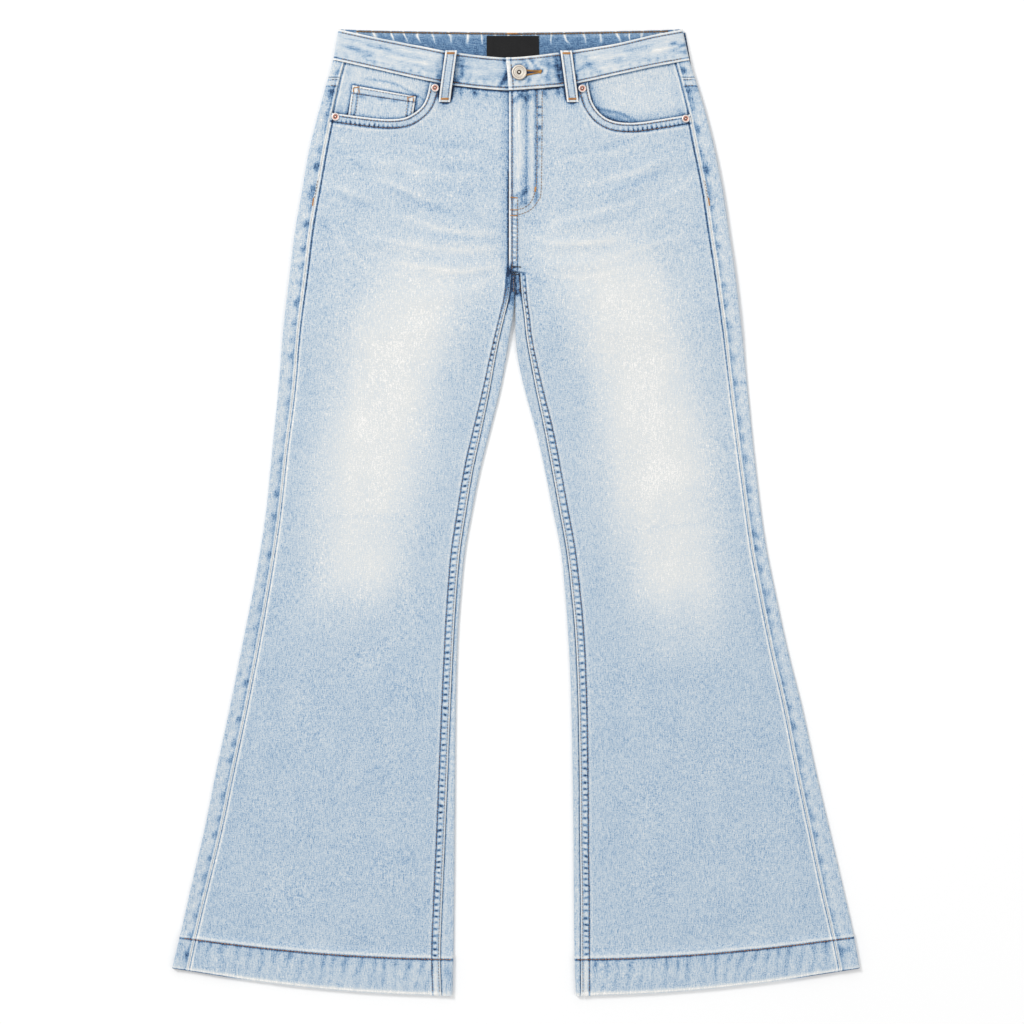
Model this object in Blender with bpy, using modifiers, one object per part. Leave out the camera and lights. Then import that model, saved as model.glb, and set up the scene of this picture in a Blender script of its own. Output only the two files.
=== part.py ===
"""Bootcut jeans laid flat, face up, on a surface: +X right, +Y towards the waist, +Z up.

Sizes are in millimetres until a mesh is made. Left and right are as seen from above. Denim is an
outside face with its wall grown inwards. Everything on the top layer reads one height field, so
the pieces lie flush, and what lies on a panel is made from the panel's points, moved out.
A place on a leg is given as out, its distance from x = 0 towards that leg's own side.
"""

import math
from bisect import bisect
from collections import namedtuple

import bmesh
import bpy

MM = 0.001  # metres in a millimetre

# Cloth and gaps
DENIM = 1.1  # one ply
BAND = 2.4  # waistband, two plies and stiffening
TRIM = 1.2  # patch pockets and the belt loops under the seat
SEAM_GAP = 0.3
LEG_AIR = 0.5  # between the front and the back of a leg
HIP_AIR = 1.7  # the same where a pocket facing or the fly shield lies between them
BAND_AIR = 1.7  # and inside the waistband, where the label and the facings' top edges lie
LEG_ROLL, HIP_ROLL = 1.0, 0.4  # how much a folded edge stands above the flat cloth beside it
ROLL_REACH = 7.0
SEAT_LIFT = TRIM + SEAM_GAP  # the seat lies on its back pockets and loops

# Levels up the garment, measured at the side
HEM_LEVEL = -501.0
HEM_DEPTH, HEM_STEP = 36.0, 8.0
YOKE_LEVEL = 479.0
BAND_LEVEL = 498.0
FORK_LEVEL = 264.0  # where the four inseams meet
FORK_REACH, FORK_CORNER = 30.0, 8.0
SEAT_FROM, SEAT_TO = 150.0, 210.0  # the seat's lift eases in between these
HIP_FROM, HIP_TO = 130.0, 230.0  # and the air between the layers between these
WAIST_RISE, WAIST_REACH = 1.3, 20.0  # the panels climb to the band's edge
TOP_REACH = 300.0  # above this the rows bend to the waist seams
HEM_REACH = -300.0  # below this they bend to the hem

# Centre front, fly and zip
LAP_X = -7.7  # folded edge of the right front
UNDER_X = -4.2  # edge of the left front, under the lap
FLY_END = 337.0
SHIELD_X = 24.0
ZIP_X = 3.3
CHAIN_WIDTH, CHAIN_RISE = 5.2, 0.8
ZIP_BOTTOM, ZIP_TOP = 346.0, 462.0
SLIDER_Y = 455.0
BAND_LAP = BAND + SEAM_GAP
UNDERLAP_X, LAP_EASE_X = 32.0, 58.0
BAND_LAP_X = -9.5

# Centre back
FORK_X, BACK_TOP_X = -1.0, -4.0

# Hardware and trim
BUTTON = (3.5, 483.7)
BUTTON_RADIUS, NECK_RADIUS, EYELET_RADIUS = 8.5, 3.2, 3.9
SLIT_END_X, SLIT_WIDTH = 26.5, 1.6
RIVET_RADIUS, RIVET_HEIGHT = 4.5, 1.3
LOOP_WIDTH, LOOP_THICK, LOOP_BOW, LOOP_FOOT_Y = 12.6, 1.5, 0.8, 451.7
LABEL_WIDTH, LABEL_HEIGHT, LABEL_THICK = 57.5, 30.0, 1.0
LABEL_CENTRE = (-3.5, 510.0)

Side = namedtuple("Side", "y outline strip")
Inseam = namedtuple("Inseam", "y inner strip")
Front = namedtuple("Front", "x top bottom")
Share = namedtuple("Share", "share y")
Hem = namedtuple("Hem", "out y")
Rise = namedtuple("Rise", "away rise")
Crease = namedtuple("Crease", "out y to_out to_y rise reach")

# Outline of each leg, and the width of the back panel that comes round to the top beside it
LEFT_SIDE = [
    Side(-501, 378.5, 17.5), Side(-459, 368.5, 16.5), Side(-415, 358.6, 17), Side(-349, 343.2, 17.5),
    Side(-283, 330, 18), Side(-217, 315.7, 17.5), Side(-151, 302.5, 17), Side(-85, 289.3, 15.5),
    Side(-41, 281.6, 15), Side(3, 275, 14.5), Side(69, 268.4, 15), Side(135, 261.8, 16.5),
    Side(201, 256.3, 16.5), Side(267, 248.6, 17), Side(311, 243.1, 16.5), Side(355, 235.4, 16.5),
    Side(399, 227.7, 16.5), Side(443, 216.7, 14.5), Side(478, 206.8, 12.5), Side(498, 201.3, 12.5),
    Side(532, 195.3, 12.5),
]
RIGHT_SIDE = [
    Side(-501, 378.5, 21.5), Side(-459, 370.7, 22.5), Side(-415, 360.8, 23), Side(-349, 345.4, 21.5),
    Side(-283, 330, 20), Side(-217, 315.7, 18.5), Side(-151, 299.2, 17), Side(-85, 284.9, 16),
    Side(-41, 276.1, 15.5), Side(3, 269.5, 15), Side(69, 261.8, 16), Side(135, 255.2, 17.5),
    Side(201, 248.6, 18.5), Side(267, 240.9, 19.5), Side(311, 234.3, 19.5), Side(355, 227.7, 19.5),
    Side(399, 218.9, 19.5), Side(443, 207.9, 17.5), Side(478, 197.2, 15.5), Side(498, 191, 15),
    Side(532, 183.2, 14),
]

# Inner outline of each leg, and the width of the back panel that shows on top beside it
LEFT_INSEAM = [
    Inseam(-532, 70, 12), Inseam(-487, 68.8, 14.5), Inseam(-426, 68.2, 13), Inseam(-371, 67.7, 11),
    Inseam(-283, 67.1, 8), Inseam(-195, 66, 5.5), Inseam(-129, 63.8, 4.5), Inseam(-85, 60.5, 5),
    Inseam(-41, 56.1, 5.5), Inseam(3, 48.4, 6.5), Inseam(47, 39.6, 8), Inseam(91, 28.6, 9.5),
    Inseam(135, 17.6, 11.5), Inseam(168, 11.3, 12), Inseam(194, 7, 11), Inseam(216, 3.3, 9.5),
    Inseam(240, 1.3, 6), Inseam(264, 1.2, 3.8),
]
RIGHT_INSEAM = [
    Inseam(-532, 66, 5.5), Inseam(-487, 64.4, 7), Inseam(-426, 63.8, 7.5), Inseam(-371, 63.5, 7),
    Inseam(-283, 62.4, 7.5), Inseam(-195, 60.5, 7.7), Inseam(-129, 57.2, 7.8), Inseam(-85, 53.9, 7),
    Inseam(-41, 49.5, 6.3), Inseam(3, 40.7, 7.2), Inseam(47, 31.9, 8), Inseam(91, 22, 9.7),
    Inseam(135, 9.9, 12.5), Inseam(168, 2.6, 13.5), Inseam(194, -0.4, 12), Inseam(216, -0.7, 10),
    Inseam(240, -0.7, 7), Inseam(264, -0.8, 5.3),
]

# Edges of the waistband where it lies on top, which dips at the centre
BAND_FRONT = [
    Front(-201, 533, 498), Front(-160, 524, 489), Front(-104, 513, 476.5), Front(-68, 506.3, 470),
    Front(-12, 500.5, 464.5), Front(20, 502.3, 466), Front(54, 507, 469.5), Front(109, 515.7, 481.3),
    Front(151, 525.5, 490.4), Front(192, 533, 498),
]
# Edges of the band and of the yoke underneath, by the share of the half width at that height
BACK_TOP = [Share(0, 528.6), Share(0.4, 529.6), Share(0.85, 531.3), Share(1, 532.5)]
BACK_BOTTOM = [Share(0, 492.6), Share(0.45, 493.4), Share(0.85, 495.5), Share(0.97, 498), Share(1, 498)]
YOKE_SEAM = [
    Share(0, 425), Share(0.3, 437), Share(0.6, 453), Share(0.9, 474), Share(0.97, 479), Share(1, 479),
]
HEM_EDGE = [
    Hem(66, -531.5), Hem(131, -529.6), Hem(201, -525), Hem(261, -518.5), Hem(305, -512.5),
    Hem(348, -505.8), Hem(379, -500.8),
]

# Pocket openings, from the band to the side seam, as (out, y)
LEFT_OPENING = [
    (94.9, 471.5), (97.9, 458), (103.4, 447), (114.6, 438), (125.8, 433.8), (145.4, 433), (173.5, 436),
    (200, 439.5),
]
RIGHT_OPENING = [
    (79.2, 470.8), (83.4, 452.5), (93.3, 438.5), (105.8, 431.4), (122.8, 429), (143.8, 430.5), (190, 438),
]

# Height of the right front over the left one, by the distance from its folded edge
FLY_RISE = [
    Rise(0, 1.6), Rise(5, 1.9), Rise(8, 2.4), Rise(14, 2.4), Rise(19, 1.8), Rise(25, 1.5), Rise(32, 0.6),
    Rise(45, 0),
]
CENTRE_RISE = [Rise(0, 1.6), Rise(7, 1.5), Rise(14, 0.4), Rise(25, 0)]
SLIDER_BUMP, SLIDER_BUMP_X, SLIDER_BUMP_Y = 1.8, 9.0, 13.0
FLY_FADE = 12.0  # the fly's rise becomes the plain lap of the seam over this much each way
INSEAM_RIDGE, RIDGE_WIDTH, RIDGE_EDGE = 0.7, 7.5, 2.0

# Soft creases that fan out from the crotch and lie across the thighs
CREASES = [
    Crease(18, 270, 108, 274, 1.3, 8), Crease(20, 294, 112, 303, 1.2, 8), Crease(24, 309, 110, 326, 1.1, 7),
    Crease(95, 349, 150, 363, 0.9, 7), Crease(120, 379, 184, 388, 0.9, 7), Crease(110, 298, 196, 296, 0.9, 8),
    Crease(150, 344, 206, 357, 0.8, 7), Crease(30, 244, 130, 232, 0.9, 9), Crease(60, 205, 170, 196, 0.7, 10),
]

Leg = namedtuple("Leg", "name sign side inseam opening edge pocket_rise")
LEFT = Leg("left", -1, LEFT_SIDE, LEFT_INSEAM, LEFT_OPENING, -UNDER_X, 2.0)
RIGHT = Leg("right", 1, RIGHT_SIDE, RIGHT_INSEAM, RIGHT_OPENING, LAP_X, 1.3)
POCKET_REACH = 20.0

FRONT_LEVELS = [
    -501, -483, -465, -457, -415, -371, -327, -283, -239, -195, -151, -107, -63, -19, 25, 69, 100, 130, 155,
    175, 195, 208, 222, 233, 244, 254, 264, 272, 282, 294, 304, 314, 326, 338, 350, 362, 375, 388, 404, 420,
    436, 452, 470, 498,
]
BACK_LEVELS = [
    -501, -483, -465, -457, -415, -371, -327, -283, -239, -195, -151, -107, -63, -19, 25, 69, 100, 130, 155,
    175, 195, 208, 222, 233, 244, 254, 264, 282, 314, 350, 388, 420, 450, 479,
]

DENIM_BLUE = (0.52, 0.62, 0.74)
BAND_BLUE = (0.62, 0.70, 0.79)


def eased(value, start, end):
    """0 up to start, 1 from end on, and smooth between them."""
    share = min(max((value - start) / (end - start), 0.0), 1.0)
    return share * share * (3.0 - 2.0 * share)


def blend(a, b, share):
    return a + (b - a) * share


def smooth(rows, column, at):
    """A table's column read at a place on its first column, on one smooth curve."""
    at = min(max(at, rows[0][0]), rows[-1][0])
    i = min(max(bisect([row[0] for row in rows], at) - 1, 0), len(rows) - 2)

    def slope(k):
        before, after = rows[max(k - 1, 0)], rows[min(k + 1, len(rows) - 1)]
        return (getattr(after, column) - getattr(before, column)) / (after[0] - before[0])

    span = rows[i + 1][0] - rows[i][0]
    t = (at - rows[i][0]) / span
    start, end = getattr(rows[i], column), getattr(rows[i + 1], column)
    bend = slope(i) * t * (1 - t) ** 2 + slope(i + 1) * t * t * (t - 1)
    return start * (1 + 2 * t) * (1 - t) ** 2 + end * t * t * (3 - 2 * t) + span * bend


def curve_through(points, per_span):
    """Points of a smooth open curve through the given ones."""
    ends = [points[0]] + list(points) + [points[-1]]
    found = []
    for a, b, c, d in zip(ends, ends[1:], ends[2:], ends[3:]):
        for step in range(per_span):
            t = step / per_span
            place = []
            for p, q, r, s in zip(a, b, c, d):
                bend = (2 * p - 5 * q + 4 * r - s) * t * t + (3 * q - p - 3 * r + s) * t ** 3
                place.append((2 * q + (r - p) * t + bend) / 2)
            found.append(tuple(place))
    return found + [points[-1]]


def distance_to(path, x, y):
    """Distance from a place to the nearest stretch of a path."""
    best = math.inf
    for (ax, ay), (bx, by) in zip(path, path[1:]):
        run_x, run_y = bx - ax, by - ay
        t = ((x - ax) * run_x + (y - ay) * run_y) / (run_x * run_x + run_y * run_y)
        t = min(max(t, 0.0), 1.0)
        best = min(best, math.hypot(x - ax - run_x * t, y - ay - run_y * t))
    return best


OPENING_PATH = {leg.name: curve_through(leg.opening, 3) for leg in (LEFT, RIGHT)}


# The flat pattern: where each edge runs


def outline(leg, y):
    return smooth(leg.side, "outline", y)


def side_seam(leg, y):
    return outline(leg, y) - smooth(leg.side, "strip", y)


def inner(leg, y):
    return smooth(leg.inseam, "inner", y)


def inseam(leg, y):
    return inner(leg, y) + smooth(leg.inseam, "strip", y)


def front_edge(leg, y):
    """Inner edge of a front panel: its centre-front edge above the fork and its inseam below."""
    return blend(inseam(leg, y) + SEAM_GAP / 2, leg.edge, eased(y, FORK_LEVEL, FORK_LEVEL + FORK_CORNER))


def centre_back(leg, y):
    """The centre-back seam, which leans slightly from the fork to the band."""
    x = blend(FORK_X, BACK_TOP_X, eased(y, FORK_LEVEL, BAND_LEVEL))
    return leg.sign * x + SEAM_GAP / 2


def seat_lift(y):
    return SEAT_LIFT * eased(y, SEAT_FROM, SEAT_TO)


def plies(level):
    """Two plies up to the top of the turned hem, one above it."""
    return 2.0 - eased(level, HEM_LEVEL + HEM_DEPTH, HEM_LEVEL + HEM_DEPTH + HEM_STEP)


def front_y(leg, out, level):
    """Height of a row of the front where it passes a place: bent to the band above, to the hem below."""
    if level > TOP_REACH:
        share = (level - TOP_REACH) / (BAND_LEVEL - TOP_REACH)
        seam = smooth(BAND_FRONT, "bottom", leg.sign * out) - SEAM_GAP / 2
        return level + share * share * (seam - BAND_LEVEL)
    return level + hem_bend(out, level)


def hem_bend(out, level):
    share = max((HEM_REACH - level) / (HEM_REACH - HEM_LEVEL), 0.0)
    return share * (smooth(HEM_EDGE, "y", out) - HEM_LEVEL)


def yoke_seam(leg, out, on_top):
    return YOKE_LEVEL if on_top else smooth(YOKE_SEAM, "y", out / outline(leg, YOKE_LEVEL))


def back_y(leg, out, level, on_top):
    """The same for the back, bent to the yoke seam above."""
    if level > TOP_REACH:
        share = (level - TOP_REACH) / (YOKE_LEVEL - TOP_REACH)
        seam = yoke_seam(leg, out, on_top) - SEAM_GAP / 2
        return level + share * share * (seam - YOKE_LEVEL)
    return level + hem_bend(out, level)


# The height field of the top layer


def crease_rise(out, y):
    found = 0.0
    for fold in CREASES:
        run_x, run_y = fold.to_out - fold.out, fold.to_y - fold.y
        t = ((out - fold.out) * run_x + (y - fold.y) * run_y) / (run_x ** 2 + run_y ** 2)
        t = min(max(t, 0.0), 1.0)
        away = math.hypot(out - fold.out - run_x * t, y - fold.y - run_y * t)
        found += fold.rise * 4 * t * (1 - t) * math.exp(-((away / fold.reach) ** 2))
    return found


def top_height(leg, out, y, level=0.0):
    """Outside of the top layer, without what is particular to one panel."""
    air = blend(LEG_AIR, HIP_AIR, eased(y, HIP_FROM, HIP_TO))
    height = seat_lift(y) + 2 * DENIM * plies(level) + air
    below_band = smooth(BAND_FRONT, "bottom", leg.sign * out) - y
    height += WAIST_RISE * (1 - eased(below_band, 0, WAIST_REACH))
    roll = math.exp(-(((outline(leg, y) - out) / ROLL_REACH) ** 2))
    if y < FORK_LEVEL:
        roll += math.exp(-(((out - inner(leg, y)) / ROLL_REACH) ** 2))
    return height + blend(LEG_ROLL, HIP_ROLL, eased(y, HIP_FROM, HIP_TO)) * roll


def fly_rise(x, y):
    """The right front climbs over the left one, the zip and its slider."""
    away = max(x - LAP_X, 0.0)
    above = eased(y, FLY_END - FLY_FADE, FLY_END + FLY_FADE)
    rise = blend(smooth(CENTRE_RISE, "rise", away), smooth(FLY_RISE, "rise", away), above)
    bump = ((x - ZIP_X) / SLIDER_BUMP_X) ** 2 + ((y - SLIDER_Y) / SLIDER_BUMP_Y) ** 2
    return rise + SLIDER_BUMP * math.exp(-bump)


def front_height(leg, out, y, level=0.0):
    """Outside of a front panel: the top layer with its creases, pocket swell, ridge and lap."""
    height = top_height(leg, out, y, level) + crease_rise(out, y)
    away = distance_to(OPENING_PATH[leg.name], out, y)
    height += leg.pocket_rise * math.exp(-((away / POCKET_REACH) ** 2))
    below_fork = 1 - eased(y, FORK_LEVEL - FORK_REACH, FORK_LEVEL)
    ridge = 1 - eased(out - front_edge(leg, y), RIDGE_WIDTH, RIDGE_WIDTH + RIDGE_EDGE)
    height += INSEAM_RIDGE * ridge * below_fork
    if leg is RIGHT:
        height += fly_rise(leg.sign * out, y) * (1 - below_fork)
    return height


def band_height(x):
    """Outside of the waistband on top, which climbs over its own underlap."""
    front = SEAT_LIFT + 2 * BAND + BAND_AIR
    return front + BAND_LAP * (1 - eased(x, UNDERLAP_X + 2, LAP_EASE_X))


# Making the solids

for old in list(bpy.data.objects):
    bpy.data.objects.remove(old)
parts = bpy.data.collections.new("bootcut_jeans")
cutters = bpy.data.collections.new("cutters")
for group in (parts, cutters):
    bpy.context.scene.collection.children.link(group)
cutters.hide_render = True


def material(name, colour, roughness=0.85, metallic=0.0):
    made = bpy.data.materials.new(name)
    made.use_nodes = True
    shader = made.node_tree.nodes["Principled BSDF"]
    shader.inputs["Base Color"].default_value = (*colour, 1.0)
    shader.inputs["Roughness"].default_value = roughness
    shader.inputs["Metallic"].default_value = metallic
    made.diffuse_color = (*colour, 1.0)
    return made


def add_object(name, mesh, colour, roughness=0.85, metallic=0.0, group=parts):
    made = bpy.data.objects.new(name, mesh)
    group.objects.link(made)
    mesh.materials.append(material(name, colour, roughness, metallic))
    return made


def cloth(name, rows, thickness, colour, flip=False, heavy_rows=()):
    """A grid of the cloth's outside face, with its wall grown inwards. A missing place is None.

    The rows in heavy_rows get the whole thickness and the others half of it.
    """
    mesh = bpy.data.meshes.new(name)
    points, index = [], {}
    for r, row in enumerate(rows):
        for c, place in enumerate(row):
            if place is not None:
                index[r, c] = len(points)
                points.append([MM * value for value in place])
    faces = []
    for r in range(len(rows) - 1):
        for c in range(len(rows[0]) - 1):
            corners = [(r, c), (r, c + 1), (r + 1, c + 1), (r + 1, c)]
            if all(corner in index for corner in corners):
                face = [index[corner] for corner in corners]
                faces.append(face[::-1] if flip else face)
    mesh.from_pydata(points, [], faces)
    made = add_object(name, mesh, colour)
    wall = made.modifiers.new("wall", "SOLIDIFY")
    wall.thickness = thickness * MM
    wall.offset = -1
    wall.use_even_offset = True
    if heavy_rows:
        weights = made.vertex_groups.new(name="plies")
        for (r, _), vertex in index.items():
            weights.add([vertex], 1.0 if r in heavy_rows else 0.5, "REPLACE")
        wall.vertex_group = "plies"
    mesh.shade_smooth()
    mesh.set_sharp_from_angle(angle=math.radians(40))
    return made


def flat_piece(name, outline_points, bottom, thickness, colour, group=parts):
    """A flat outline with a thickness, standing on a height."""
    work = bmesh.new()
    face = work.faces.new([work.verts.new((x * MM, y * MM, bottom * MM)) for x, y in outline_points])
    lifted = bmesh.ops.extrude_face_region(work, geom=[face])["geom"]
    tops = [item for item in lifted if isinstance(item, bmesh.types.BMVert)]
    bmesh.ops.translate(work, verts=tops, vec=(0, 0, thickness * MM))
    bmesh.ops.recalc_face_normals(work, faces=work.faces)
    mesh = bpy.data.meshes.new(name)
    work.to_mesh(mesh)
    work.free()
    return add_object(name, mesh, colour, group=group)


def cut(target, cutter):
    cutter.hide_render = True
    cutter.display_type = "WIRE"
    taken = target.modifiers.new("cut", "BOOLEAN")
    taken.object = cutter
    taken.solver = "EXACT"


# Back panels and yokes

FOLD_STEPS = 6
UNDER_STEPS = 6


def fold_radius(leg, out, y, level):
    return (top_height(leg, out, y, level) - seat_lift(y)) / 2


def back_section(has_inner_fold):
    """The places across a back panel: what each point belongs to, and how far along it is."""
    section = [("side_strip", 0.0), ("side_strip", 0.5)]
    section += [("side_fold", step / FOLD_STEPS) for step in range(FOLD_STEPS + 1)]
    section += [("under", step / UNDER_STEPS) for step in range(1, UNDER_STEPS + 1)]
    if has_inner_fold:
        section += [("inner_fold", step / FOLD_STEPS) for step in range(1, FOLD_STEPS + 1)]
        section += [("inner_strip", 1.0)]
    return section


def back_place(leg, part, t, level, row_y):
    """A point of the outside face of the back, on the row that has this level."""
    y = level
    on_top = part.endswith("strip") or (part == "side_fold" and t < 0.5)
    for _ in range(2):
        edge = outline(leg, y)
        side_r = fold_radius(leg, edge - 2.5, y, level)
        low = seat_lift(y)
        if y < FORK_LEVEL + 1:
            inner_edge = inner(leg, y)
            inner_r = fold_radius(leg, inner_edge + 2.5, y, level)
            end = inner_edge + inner_r
        else:
            end = centre_back(leg, y)
        if part == "side_strip":
            out = blend(side_seam(leg, y) + SEAM_GAP / 2, edge - side_r, t)
            z = top_height(leg, out, y, level)
        elif part == "side_fold":
            turn = math.pi * t
            out = edge - side_r + side_r * math.sin(turn)
            z = low + side_r + side_r * math.cos(turn)
        elif part == "under":
            out = blend(edge - side_r, end, t)
            z = low
        elif part == "inner_fold":
            turn = math.pi * t
            out = inner_edge + inner_r - inner_r * math.sin(turn)
            z = low + inner_r - inner_r * math.cos(turn)
        else:
            out = inseam(leg, y) - SEAM_GAP / 2
            z = top_height(leg, out, y, level)
        y = row_y(leg, out, level, on_top)
    return leg.sign * out, y, z


def back_panel(leg):
    rows = []
    section = back_section(True)
    for level in BACK_LEVELS:
        row = []
        for part, t in section:
            missing = part.startswith("inner") and level > FORK_LEVEL
            row.append(None if missing else back_place(leg, part, t, level, back_y))
        rows.append(row)
    heavy = [r for r, level in enumerate(BACK_LEVELS) if level <= HEM_LEVEL + HEM_DEPTH]
    cloth(f"back_{leg.name}", rows, 2 * DENIM, DENIM_BLUE, flip=leg is LEFT, heavy_rows=heavy)


def yoke_y(leg, out, level, on_top):
    """Height of a row of the yoke, between the back's seam and the band's."""
    if on_top:
        band = smooth(BAND_FRONT, "bottom", leg.sign * out)
    else:
        band = smooth(BACK_BOTTOM, "y", out / outline(leg, BAND_LEVEL))
    share = (level - YOKE_LEVEL) / (BAND_LEVEL - YOKE_LEVEL)
    return blend(yoke_seam(leg, out, on_top) + SEAM_GAP / 2, band - SEAM_GAP / 2, share)


def yoke(leg):
    rows = []
    for share in (0.0, 0.33, 0.67, 1.0):
        level = blend(YOKE_LEVEL, BAND_LEVEL, share)
        rows.append([back_place(leg, part, t, level, yoke_y) for part, t in back_section(False)])
    cloth(f"yoke_{leg.name}", rows, DENIM, DENIM_BLUE, flip=leg is LEFT)


# Front panels, cut for their pockets

EDGE_COLUMNS = (45.0, 32.0, 25.0, 19.0, 14.0, RIDGE_WIDTH + RIDGE_EDGE, RIDGE_WIDTH, 0.0)
WIDE_COLUMNS = 8
CUT_MARGIN, CUT_BEYOND, CUT_HEIGHT = 2.0, 30.0, 20.0


def front_panel(leg):
    rows = []
    for level in FRONT_LEVELS:
        row = []
        for column in range(WIDE_COLUMNS + len(EDGE_COLUMNS) - 1):
            y = level
            for _ in range(2):
                start, end = side_seam(leg, y) - SEAM_GAP / 2, front_edge(leg, y)
                if column < WIDE_COLUMNS - 1:
                    out = blend(start, end + EDGE_COLUMNS[0], column / (WIDE_COLUMNS - 1))
                else:
                    out = end + EDGE_COLUMNS[column - WIDE_COLUMNS + 1]
                y = front_y(leg, out, level)
            row.append((leg.sign * out, y, front_height(leg, out, y, level)))
        rows.append(row)
    heavy = [r for r, level in enumerate(FRONT_LEVELS) if level <= HEM_LEVEL + HEM_DEPTH]
    panel = cloth(f"front_{leg.name}", rows, 2 * DENIM, DENIM_BLUE, flip=leg is RIGHT, heavy_rows=heavy)
    opening = OPENING_PATH[leg.name]
    (first_out, _), (last_out, last_y) = opening[0], opening[-1]
    above = BAND_LEVEL + CUT_BEYOND
    scoop = [(first_out + CUT_MARGIN, above)] + opening
    scoop += [(last_out + CUT_BEYOND, last_y + CUT_MARGIN), (last_out + CUT_BEYOND, above)]
    places = [(leg.sign * out, y) for out, y in scoop]
    cut(panel, flat_piece(f"opening_cutter_{leg.name}", places, 0, CUT_HEIGHT, DENIM_BLUE, cutters))


# What shows in the pocket openings

FACING_UNDER_SIDE, FACING_IN_BAND = 4.0, 3.0
FACING_BOTTOM, FACING_PAST = 412.0, 14.0
FACING_ROWS, FACING_COLUMNS = 6, 7
COIN_TOP = [(179.9, 470.8), (110.3, 458.2)]  # as (out, y), from the side inwards
COIN_LOW = [(185.5, 431.0), (114.6, 429.0)]  # tucked under the edge of the opening
COIN_ROWS, COIN_COLUMNS, COIN_CLOTH = 4, 5, 1.0


def facing_height(leg, out, y):
    return top_height(leg, out, y) - DENIM - SEAM_GAP


def facing(leg):
    rows = []
    for r in range(FACING_ROWS + 1):
        row = []
        for c in range(FACING_COLUMNS + 1):
            y = BAND_LEVEL
            for _ in range(2):
                start = side_seam(leg, y) + FACING_UNDER_SIDE
                out = blend(start, leg.opening[0][0] - FACING_PAST, c / FACING_COLUMNS)
                top = smooth(BAND_FRONT, "bottom", leg.sign * out) + FACING_IN_BAND
                y = blend(FACING_BOTTOM, top, r / FACING_ROWS)
            row.append((leg.sign * out, y, facing_height(leg, out, y)))
        rows.append(row)
    cloth(f"pocket_facing_{leg.name}", rows, DENIM, DENIM_BLUE, flip=leg is RIGHT)


def coin_pocket():
    rows = []
    for r in range(COIN_ROWS + 1):
        start, end = [
            [blend(a, b, r / COIN_ROWS) for a, b in zip(low, top)] for low, top in zip(COIN_LOW, COIN_TOP)
        ]
        row = []
        for c in range(COIN_COLUMNS + 1):
            out, y = [blend(a, b, c / COIN_COLUMNS) for a, b in zip(start, end)]
            row.append((-out, y, facing_height(LEFT, out, y) + SEAM_GAP + COIN_CLOTH))
        rows.append(row)
    cloth("coin_pocket", rows, COIN_CLOTH, DENIM_BLUE)


# Fly shield, zip and slider, which lie flat under the lap

SHIELD_TUCK, SHIELD_BELOW = 8.0, 8.0
TAPE, TAPE_SHORT, CHAIN_BEVEL = 1.0, 7.0, 0.3
SLIDER = [(-3.2, 6), (3.2, 6), (4.2, 1), (2.4, -6), (-2.4, -6), (-4.2, 1)]
SLIDER_THICK = 0.9
ZIP_BRASS = (0.50, 0.40, 0.25)
FLAT_Y = 420.0  # here the top layer is level, below its climb to the band


def shield_top():
    return facing_height(RIGHT, SHIELD_X, FLAT_Y)


def fly_shield():
    left, bottom = UNDER_X - SHIELD_TUCK, FLY_END - SHIELD_BELOW
    rows = []
    for r in range(3):
        row = []
        for c in range(5):
            x = blend(left, SHIELD_X, c / 4)
            top = smooth(BAND_FRONT, "bottom", x) - SEAM_GAP
            row.append((x, blend(bottom, top, r / 2), shield_top()))
        rows.append(row)
    cloth("fly_shield", rows, DENIM, DENIM_BLUE)


def fly_zip():
    """The tape with its closed chain standing on it."""
    half, shoulder = CHAIN_WIDTH / 2, CHAIN_WIDTH / 2 + CHAIN_BEVEL
    section = [
        (UNDER_X + SEAM_GAP, 0), (ZIP_X - shoulder, 0), (ZIP_X - half, CHAIN_RISE),
        (ZIP_X + half, CHAIN_RISE), (ZIP_X + shoulder, 0), (SHIELD_X - TAPE_SHORT, 0),
    ]
    top = shield_top() + SEAM_GAP + TAPE
    rows = [[(x, y, top + rise) for x, rise in section] for y in (ZIP_BOTTOM, ZIP_TOP)]
    zip_piece = cloth("fly_zip", rows, TAPE, ZIP_BRASS)
    zip_piece.modifiers["wall"].use_even_offset = False


def zip_slider():
    bottom = shield_top() + SEAM_GAP + TAPE + CHAIN_RISE + SEAM_GAP
    places = [(ZIP_X + x, SLIDER_Y + y) for x, y in SLIDER]
    flat_piece("zip_slider", places, bottom, SLIDER_THICK, ZIP_BRASS)


# Waistband, lapped at the centre front

TOP_LEVEL = 532.0
BAND_ROWS, BAND_STEPS, LAP_STEPS = 3, 10, 13
HOLE_MOUTH, HOLE_STEPS, CUT_ABOVE = 15.0, 18, 2.0  # the eyelet opens into the slit over twice the mouth


def band_edges(x, on_top):
    if on_top:
        return smooth(BAND_FRONT, "bottom", x) + SEAM_GAP / 2, smooth(BAND_FRONT, "top", x)
    leg = LEFT if x < 0 else RIGHT
    low_share = abs(x) / outline(leg, BAND_LEVEL)
    top_share = abs(x) / outline(leg, TOP_LEVEL)
    return smooth(BACK_BOTTOM, "y", low_share) + SEAM_GAP / 2, smooth(BACK_TOP, "y", top_share)


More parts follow.
